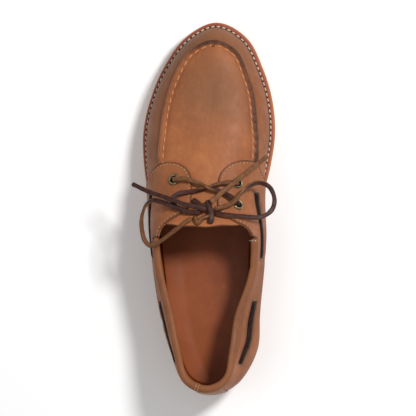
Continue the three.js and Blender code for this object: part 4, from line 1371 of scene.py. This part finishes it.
# The heel tab up the back seam
heelTab = {"lateral": -0.005, "medial": 0.016, "proud": 0.7 * mm, "rows": 40, "columns": 20}
s = np.linspace(-1.5, 1.5, 400)
x = planPoint(s)[:, 0]
ends = np.interp([-heelTab["medial"], -heelTab["lateral"]], -x, s)
s = np.linspace(ends[0], ends[1], heelTab["columns"])
level = levelAtHeight(s, facingTop, lambda y: topline(y) - shoe["rollHeight"] * 0.62)
levels = level[None, :] * np.linspace(0, 1, heelTab["rows"])[:, None]
points = form(s[None, :], levels, facingTop + heelTab["proud"])
tabPiece = newPiece(
    "heelTab", points.reshape(-1, 3), turned(gridFaces(heelTab["rows"], heelTab["columns"])), "quarterLeather",
    replaced=("heel_tab",),
)
# Darker towards the bottom of the tab.
pointAttribute(tabPiece, "burnishAndShade", 0.35 * np.clip(1 - (points[..., 2].reshape(-1) - 0.02) / 0.015, 0, 1))
pointAttribute(tabPiece, "greyToneAndSheen", np.full(points.shape[0] * points.shape[1], 0.2))
thicken(tabPiece, 1.5 * mm, 0.35 * mm, rim="cutEdge")

# The side lace where it lies outside the leather
sideLace = {"step": 1.0 * mm, "sides": 12, "width": 4.2 * mm, "dive": 3.5 * mm, "sink": 1.5 * mm, "overrun": 1.5 * mm}
for isMedial, side in ((False, "lateral"), (True, "medial")):
    for place, (low, high) in zip(("rear", "front"), quarter["windows"]):
        ends = [placeAt(isMedial, y, laceHeight(y)) for y in (low - sideLace["overrun"], high + sideLace["overrun"])]
        s = np.linspace(ends[0], ends[1], int((high - low) / sideLace["step"]))
        share = np.arange(len(s)) * sideLace["step"]
        near = np.clip(np.minimum(share, share[::-1]) / sideLace["dive"], 0, 1)
        sink = sideLace["sink"] * (1 - near * near * (3 - 2 * near))
        points = formTube(
            s, shoe["gap"] + shoe["laceThickness"] / 2 - sink, laceHeight, shoe["laceThickness"],
            sideLace["width"], sideLace["sides"], 3.2,
        )
        count = sideLace["sides"]
        faces = gridFaces(len(s), count, closed=True)
        faces.append(list(range(count))[::-1])
        faces.append([(len(s) - 1) * count + k for k in range(count)])
        # The side lace takes the darker rawhide copy: painted shade in its slots.
        piece = newPiece(
            f"sideLace_{side}_{place}", points.reshape(-1, 3), faces, "rawhideDeep",
            replaced=(f"side_lace_{side}_{place}",),
        )
        outwards(piece)
        pointAttribute(piece, "face", np.ones(len(s) * count))

# The eyelets, rolled brass, each with a dark disc and band down its hole: painted shade inside the eyelet
eyeletProfile = (
    (2.75, -1.6), (2.75, 0.5), (2.85, 0.92), (3.1, 1.2), (3.5, 1.33), (3.92, 1.24), (4.28, 0.98), (4.52, 0.6),
    (4.6, 0.15), (4.45, 0.0), (3.3, -0.05), (3.2, -1.6),
)
for name, (seat, normal) in eyeletSeats.items():
    turns = 48
    a = np.cross(normal, (0, 1, 0))
    a /= np.linalg.norm(a)
    b = np.cross(normal, a)
    points = []
    for k in range(turns):
        angle = 2 * math.pi * k / turns
        for r, z in eyeletProfile:
            points.append(seat + mm * (r * (a * math.cos(angle) + b * math.sin(angle)) + z * normal))
    count = len(eyeletProfile)
    faces = []
    for k in range(turns):
        for j in range(count):
            following = (k + 1) % turns * count
            faces.append((k * count + j, k * count + (j + 1) % count, following + (j + 1) % count, following + j))
    # Two dark discs down the hole and the band between them take the hole finish: painted shade.
    for lift in (-1.0, -1.25):
        start = len(points)
        points += [seat + mm * (2.72 * (a * math.cos(2 * math.pi * k / turns) + b * math.sin(2 * math.pi * k / turns))
                                + lift * normal) for k in range(turns)]
        faces.append(tuple(range(start, start + turns)))
    faces += [(start - turns + k, start - turns + (k + 1) % turns, start + (k + 1) % turns, start + k)
              for k in range(turns)]
    piece = newPiece(
        name + "_brass", points, faces, ("antiqueBrass", "paintedHoleShade"), replaced=(name,))
    for polygon in list(piece.data.polygons)[turns * count:]:
        polygon.material_index = 1
        polygon.use_smooth = False
    outwards(piece)
print("trim made")


# Stitches: one small tree that sets threads along a line, lying on the leather
def stitchTree():
    tree = bpy.data.node_groups.new("stitchRow", "GeometryNodeTree")
    tree.interface.new_socket("Line", in_out="INPUT", socket_type="NodeSocketGeometry")
    for name in ("Pitch", "Length", "Width", "Height", "Shift", "Lift", "Slant"):
        tree.interface.new_socket(name, in_out="INPUT", socket_type="NodeSocketFloat")
    tree.interface.new_socket("Seed", in_out="INPUT", socket_type="NodeSocketInt")
    tree.interface.new_socket("Thread", in_out="INPUT", socket_type="NodeSocketMaterial")
    tree.interface.new_socket("Stitches", in_out="OUTPUT", socket_type="NodeSocketGeometry")
    add = tree.nodes.new
    join = tree.links.new
    given = add("NodeGroupInput").outputs
    line = add("GeometryNodeMeshToCurve")
    join(given["Line"], line.inputs["Mesh"])
    even = add("GeometryNodeResampleCurve")
    even.mode = "LENGTH"
    join(line.outputs["Curve"], even.inputs["Curve"])
    join(given["Pitch"], even.inputs["Length"])
    ball = add("GeometryNodeMeshUVSphere")
    ball.inputs["Segments"].default_value = 8
    ball.inputs["Rings"].default_value = 6
    ball.inputs["Radius"].default_value = 0.5
    size = add("ShaderNodeCombineXYZ")
    for socket, name in zip("XYZ", ("Length", "Width", "Height")):
        join(given[name], size.inputs[socket])
    stitch = add("GeometryNodeTransform")
    join(ball.outputs["Mesh"], stitch.inputs["Geometry"])
    join(size.outputs["Vector"], stitch.inputs["Scale"])
    surface = add("GeometryNodeInputNamedAttribute")
    surface.data_type = "FLOAT_VECTOR"
    surface.inputs["Name"].default_value = "surface"
    alongLine = add("FunctionNodeAlignRotationToVector")
    alongLine.axis = "X"
    join(add("GeometryNodeInputTangent").outputs["Tangent"], alongLine.inputs["Vector"])
    upright = add("FunctionNodeAlignRotationToVector")
    upright.axis = "Z"
    upright.pivot_axis = "X"
    join(alongLine.outputs["Rotation"], upright.inputs["Rotation"])
    join(surface.outputs["Attribute"], upright.inputs["Vector"])
    set = add("GeometryNodeInstanceOnPoints")
    join(even.outputs["Curve"], set.inputs["Points"])
    join(stitch.outputs["Geometry"], set.inputs["Instance"])
    join(upright.outputs["Rotation"], set.inputs["Rotation"])
    wander = add("FunctionNodeRandomValue")
    wander.data_type = "FLOAT"
    wander.inputs["Min"].default_value = -0.09
    wander.inputs["Max"].default_value = 0.09
    join(given["Seed"], wander.inputs["Seed"])
    turn = add("ShaderNodeMath")
    join(wander.outputs["Value"], turn.inputs[0])
    join(given["Slant"], turn.inputs[1])
    angle = add("ShaderNodeCombineXYZ")
    join(turn.outputs[0], angle.inputs["Z"])
    turned = add("GeometryNodeRotateInstances")
    join(set.outputs["Instances"], turned.inputs["Instances"])
    join(angle.outputs["Vector"], turned.inputs["Rotation"])
    move = add("ShaderNodeCombineXYZ")
    join(given["Shift"], move.inputs["X"])
    join(given["Lift"], move.inputs["Z"])
    moved = add("GeometryNodeTranslateInstances")
    join(turned.outputs["Instances"], moved.inputs["Instances"])
    join(move.outputs["Vector"], moved.inputs["Translation"])
    real = add("GeometryNodeRealizeInstances")
    join(moved.outputs["Instances"], real.inputs["Geometry"])
    soft = add("GeometryNodeSetShadeSmooth")
    join(real.outputs["Geometry"], soft.inputs["Geometry"])
    finish = add("GeometryNodeSetMaterial")
    join(soft.outputs["Geometry"], finish.inputs["Geometry"])
    join(given["Thread"], finish.inputs["Material"])
    join(finish.outputs["Geometry"], add("NodeGroupOutput").inputs["Stitches"])
    return tree


stitchRow = stitchTree()


def sewn(name, lines, thread, values):
    verts, edges, normals = [], [], []
    for points, surface in lines:
        start = len(verts)
        verts += [tuple(p) for p in points]
        normals += [tuple(n) for n in surface]
        edges += [(start + k, start + k + 1) for k in range(len(points) - 1)]
    mesh = bpy.data.meshes.new(name)
    mesh.from_pydata(verts, edges, [])
    mesh.attributes.new("surface", "FLOAT_VECTOR", "POINT").data.foreach_set("vector", np.array(normals).ravel())
    piece = bpy.data.objects.new(name, mesh)
    bpy.context.scene.collection.objects.link(piece)
    rows = piece.modifiers.new("stitches", "NODES")
    rows.node_group = stitchRow
    values = dict(zip(("Pitch", "Length", "Width", "Height", "Shift", "Lift", "Slant"), values))
    values["Thread"] = materials[thread]
    values["Seed"] = len(name)
    for socket in stitchRow.interface.items_tree:
        if socket.in_out == "INPUT" and socket.name in values:
            rows[socket.identifier] = values[socket.name]
    made = bpy.data.meshes.new_from_object(piece.evaluated_get(bpy.context.evaluated_depsgraph_get()))
    piece.modifiers.clear()
    piece.data = made
    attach(piece, "root")


stitching = {  # pitch, length, width, height, shift, lift, slant
    "welt": (4.4 * mm, 3.1 * mm, 1.2 * mm, 1.0 * mm, 0, 0.1 * mm, 0.12),
    "weltHoles": (4.4 * mm, 1.3 * mm, 1.2 * mm, 0.5 * mm, 2.2 * mm, 0.02 * mm, 0),
    "moc": (6.4 * mm, 5.2 * mm, 1.4 * mm, 1.3 * mm, 0, 0, 0.1),
    "tab": (3.3 * mm, 2.0 * mm, 0.65 * mm, 0.5 * mm, 0, 0.05 * mm, 0.12),
    "inset": 2.0 * mm,
    "bar": (0.8 * mm, 3.4 * mm, 0.8 * mm, 0.7 * mm, 0, 0.1 * mm, 0),
    "heel": (1.9 * mm, 1.6 * mm, 0.7 * mm, 0.6 * mm, 0, 0.15 * mm, 0),
}
heelStitches = {"across": (-5.6, -3.4), "down": (-3.0, 14.0), "tick": -0.0262}


def onEdge(edge, isMedial, inset):  # a line laid inside a cut edge, on the leather
    at = resampled(edge, 1.0 * mm, flatScale)
    points = form(at[:, 0], at[:, 1], facingTop)
    surface = normalAt(at[:, 0], np.clip(at[:, 1], 0.005, 0.985), facingTop)
    surface *= np.sign((surface[:, :1] * points[:, :1]).sum(1) + 10 * surface[:, 2] * mm)[:, None]
    run = np.gradient(points, axis=0)
    run /= np.linalg.norm(run, axis=1, keepdims=True)
    inwards = np.cross(surface, run) * (1 if isMedial else -1)
    crease = wrinkles(points, quarterCreases[isMedial], 1.5)[:, None]
    return points + inwards * inset + surface * crease, surface


s = ringPlaces(1.5 * mm)
s = s[(planPoint(s)[:, 1] > 0.008) & (s > 0)]
weltLine = layerRing(s, column("welt", s) * mm * upper["flange"] * 0.6, soleTop)
weltLine[:, 2] += 1.08 * upper["flangeThick"]
upwards = np.tile((0.0, 0.0, 1.0), (len(s), 1))
sewn("weltStitches", [(weltLine, upwards)], "weltThread", stitching["welt"])
# Small dark beads between the welt stitches: painted shade in the stitch holes.
sewn("weltHoles", [(weltLine, upwards)], "paintedHoleShade", stitching["weltHoles"])
s, run = seamPlaces(1.5 * mm)
mocLine = form(s, levelInwards(s, seamInsetAt(s) + 0.15 * mm), 0.45 * mm)
mocUp = normalAt(s, levelInwards(s, seamInsetAt(s)), 0.0)
mocUp *= np.sign(mocUp[:, 2:])
sewn("mocStitches", [(mocLine, mocUp)], "mocThread", stitching["moc"])
for isMedial, side in ((False, "lateral"), (True, "medial")):
    front = quarterFronts[side]
    sewn("tabStitches_" + side, [onEdge(front, isMedial, stitching["inset"])], "tabThread", stitching["tab"])
    bars = []
    for low, high in quarter["windows"]:
        for y, out in ((low, -1), (high, 1)):
            at = placeAt(isMedial, y + out * 1.3 * mm, laceHeight(y))
            s = np.full(5, at)
            level = levelAtHeight(s, facingTop, lambda yy: laceHeight(yy) + np.linspace(-2, 2, 5) * mm)
            surface = normalAt(s, level, facingTop)
            surface *= np.sign(surface[:, :1] * (1 if isMedial else -1))
            bars.append((form(s, level, facingTop), surface))
    sewn("barTacks_" + side, bars, "barThread", stitching["bar"])
def overRoll(at, low, high):  # a line over the roll at one place, between two angles
    angles = np.radians(np.linspace(low, high, 24))
    s = np.full(24, at)
    grow = middle + (shoe["rollWidth"] / 2 + 0.1 * mm) * np.cos(angles)
    height = (shoe["rollHeight"] / 2 + 0.1 * mm) * np.sin(angles) - shoe["rollHeight"] / 2
    points = form(s, levelAtHeight(s, grow, lambda y: topline(y) + height), grow)
    away = points - points.mean(0) + (0, 0, 1 * mm)
    return points, away / np.linalg.norm(away, axis=1, keepdims=True)


lines = []
for x in heelStitches["across"]:
    near = np.linspace(-1.2, 1.2, 400)
    lines.append(overRoll(near[np.argmin(np.abs(planPoint(near)[:, 0] - x * mm))], -10, 190))
sewn("rollStitches", lines, "tabThread", stitching["heel"])
tick = placeAt(True, heelStitches["tick"], laceHeight(heelStitches["tick"]))
sewn("rollTick", [overRoll(tick, 60, 150)], "weltThread", stitching["heel"])
tabLines = []
for x in heelStitches["down"]:
    near = np.linspace(-1.5, 1.5, 400)
    s = np.full(40, near[np.argmin(np.abs(planPoint(near)[:, 0] - x * mm))])
    level = np.linspace(0.03, 0.96, 40) * levelAtHeight(s, facingTop, lambda y: topline(y) - shoe["rollHeight"] * 0.62)
    surface = normalAt(s, level, facingTop)
    surface *= np.sign(-surface[:, 1:2])
    tabLines.append((form(s, level, facingTop + heelTab["proud"]), surface))
sewn("heelTabStitches", tabLines, "tabThread", stitching["tab"])
print("stitches made")


# Floor and light
studio = {
    "floor": (250, 250, 250),
    "sky": 0.44,
    "keyPlace": (0.75, 0.55, 1.3),
    "keySize": 0.32,
    "keyPower": 20.0,
    "fillPlace": (-1.0, -0.3, 1.4),
    "fillSize": 1.4,
    "fillPower": 4.0,
}


def addLight(name, place, size, power):
    data = bpy.data.lights.new(name, "AREA")
    data.shape = "DISK"
    data.size = size
    data.energy = power
    item = bpy.data.objects.new(name, data)
    item.location = place
    item.rotation_euler = (Vector((0, 0, 0.03)) - Vector(place)).to_track_quat("-Z", "Y").to_euler()
    bpy.context.scene.collection.objects.link(item)


def addStudio():
    ground = Finish("paleFloor", 0.9, 0.2)
    ground.finish(colour(*studio["floor"]))
    mesh = bpy.data.meshes.new("floor")
    mesh.from_pydata([(-4, -4, 0), (4, -4, 0), (4, 4, 0), (-4, 4, 0)], [], [(0, 1, 2, 3)])
    mesh.materials.append(materials["paleFloor"])
    floor = bpy.data.objects.new("floor", mesh)
    bpy.context.scene.collection.objects.link(floor)
    world = bpy.data.worlds.new("studio")
    world.use_nodes = True
    world.node_tree.nodes["Background"].inputs["Color"].default_value = (1, 1, 1, 1)
    world.node_tree.nodes["Background"].inputs["Strength"].default_value = studio["sky"]
    bpy.context.scene.world = world
    bpy.context.scene.view_settings.view_transform = "Standard"
    addLight("key", studio["keyPlace"], studio["keySize"], studio["keyPower"])
    addLight("fill", studio["fillPlace"], studio["fillSize"], studio["fillPower"])


addStudio()
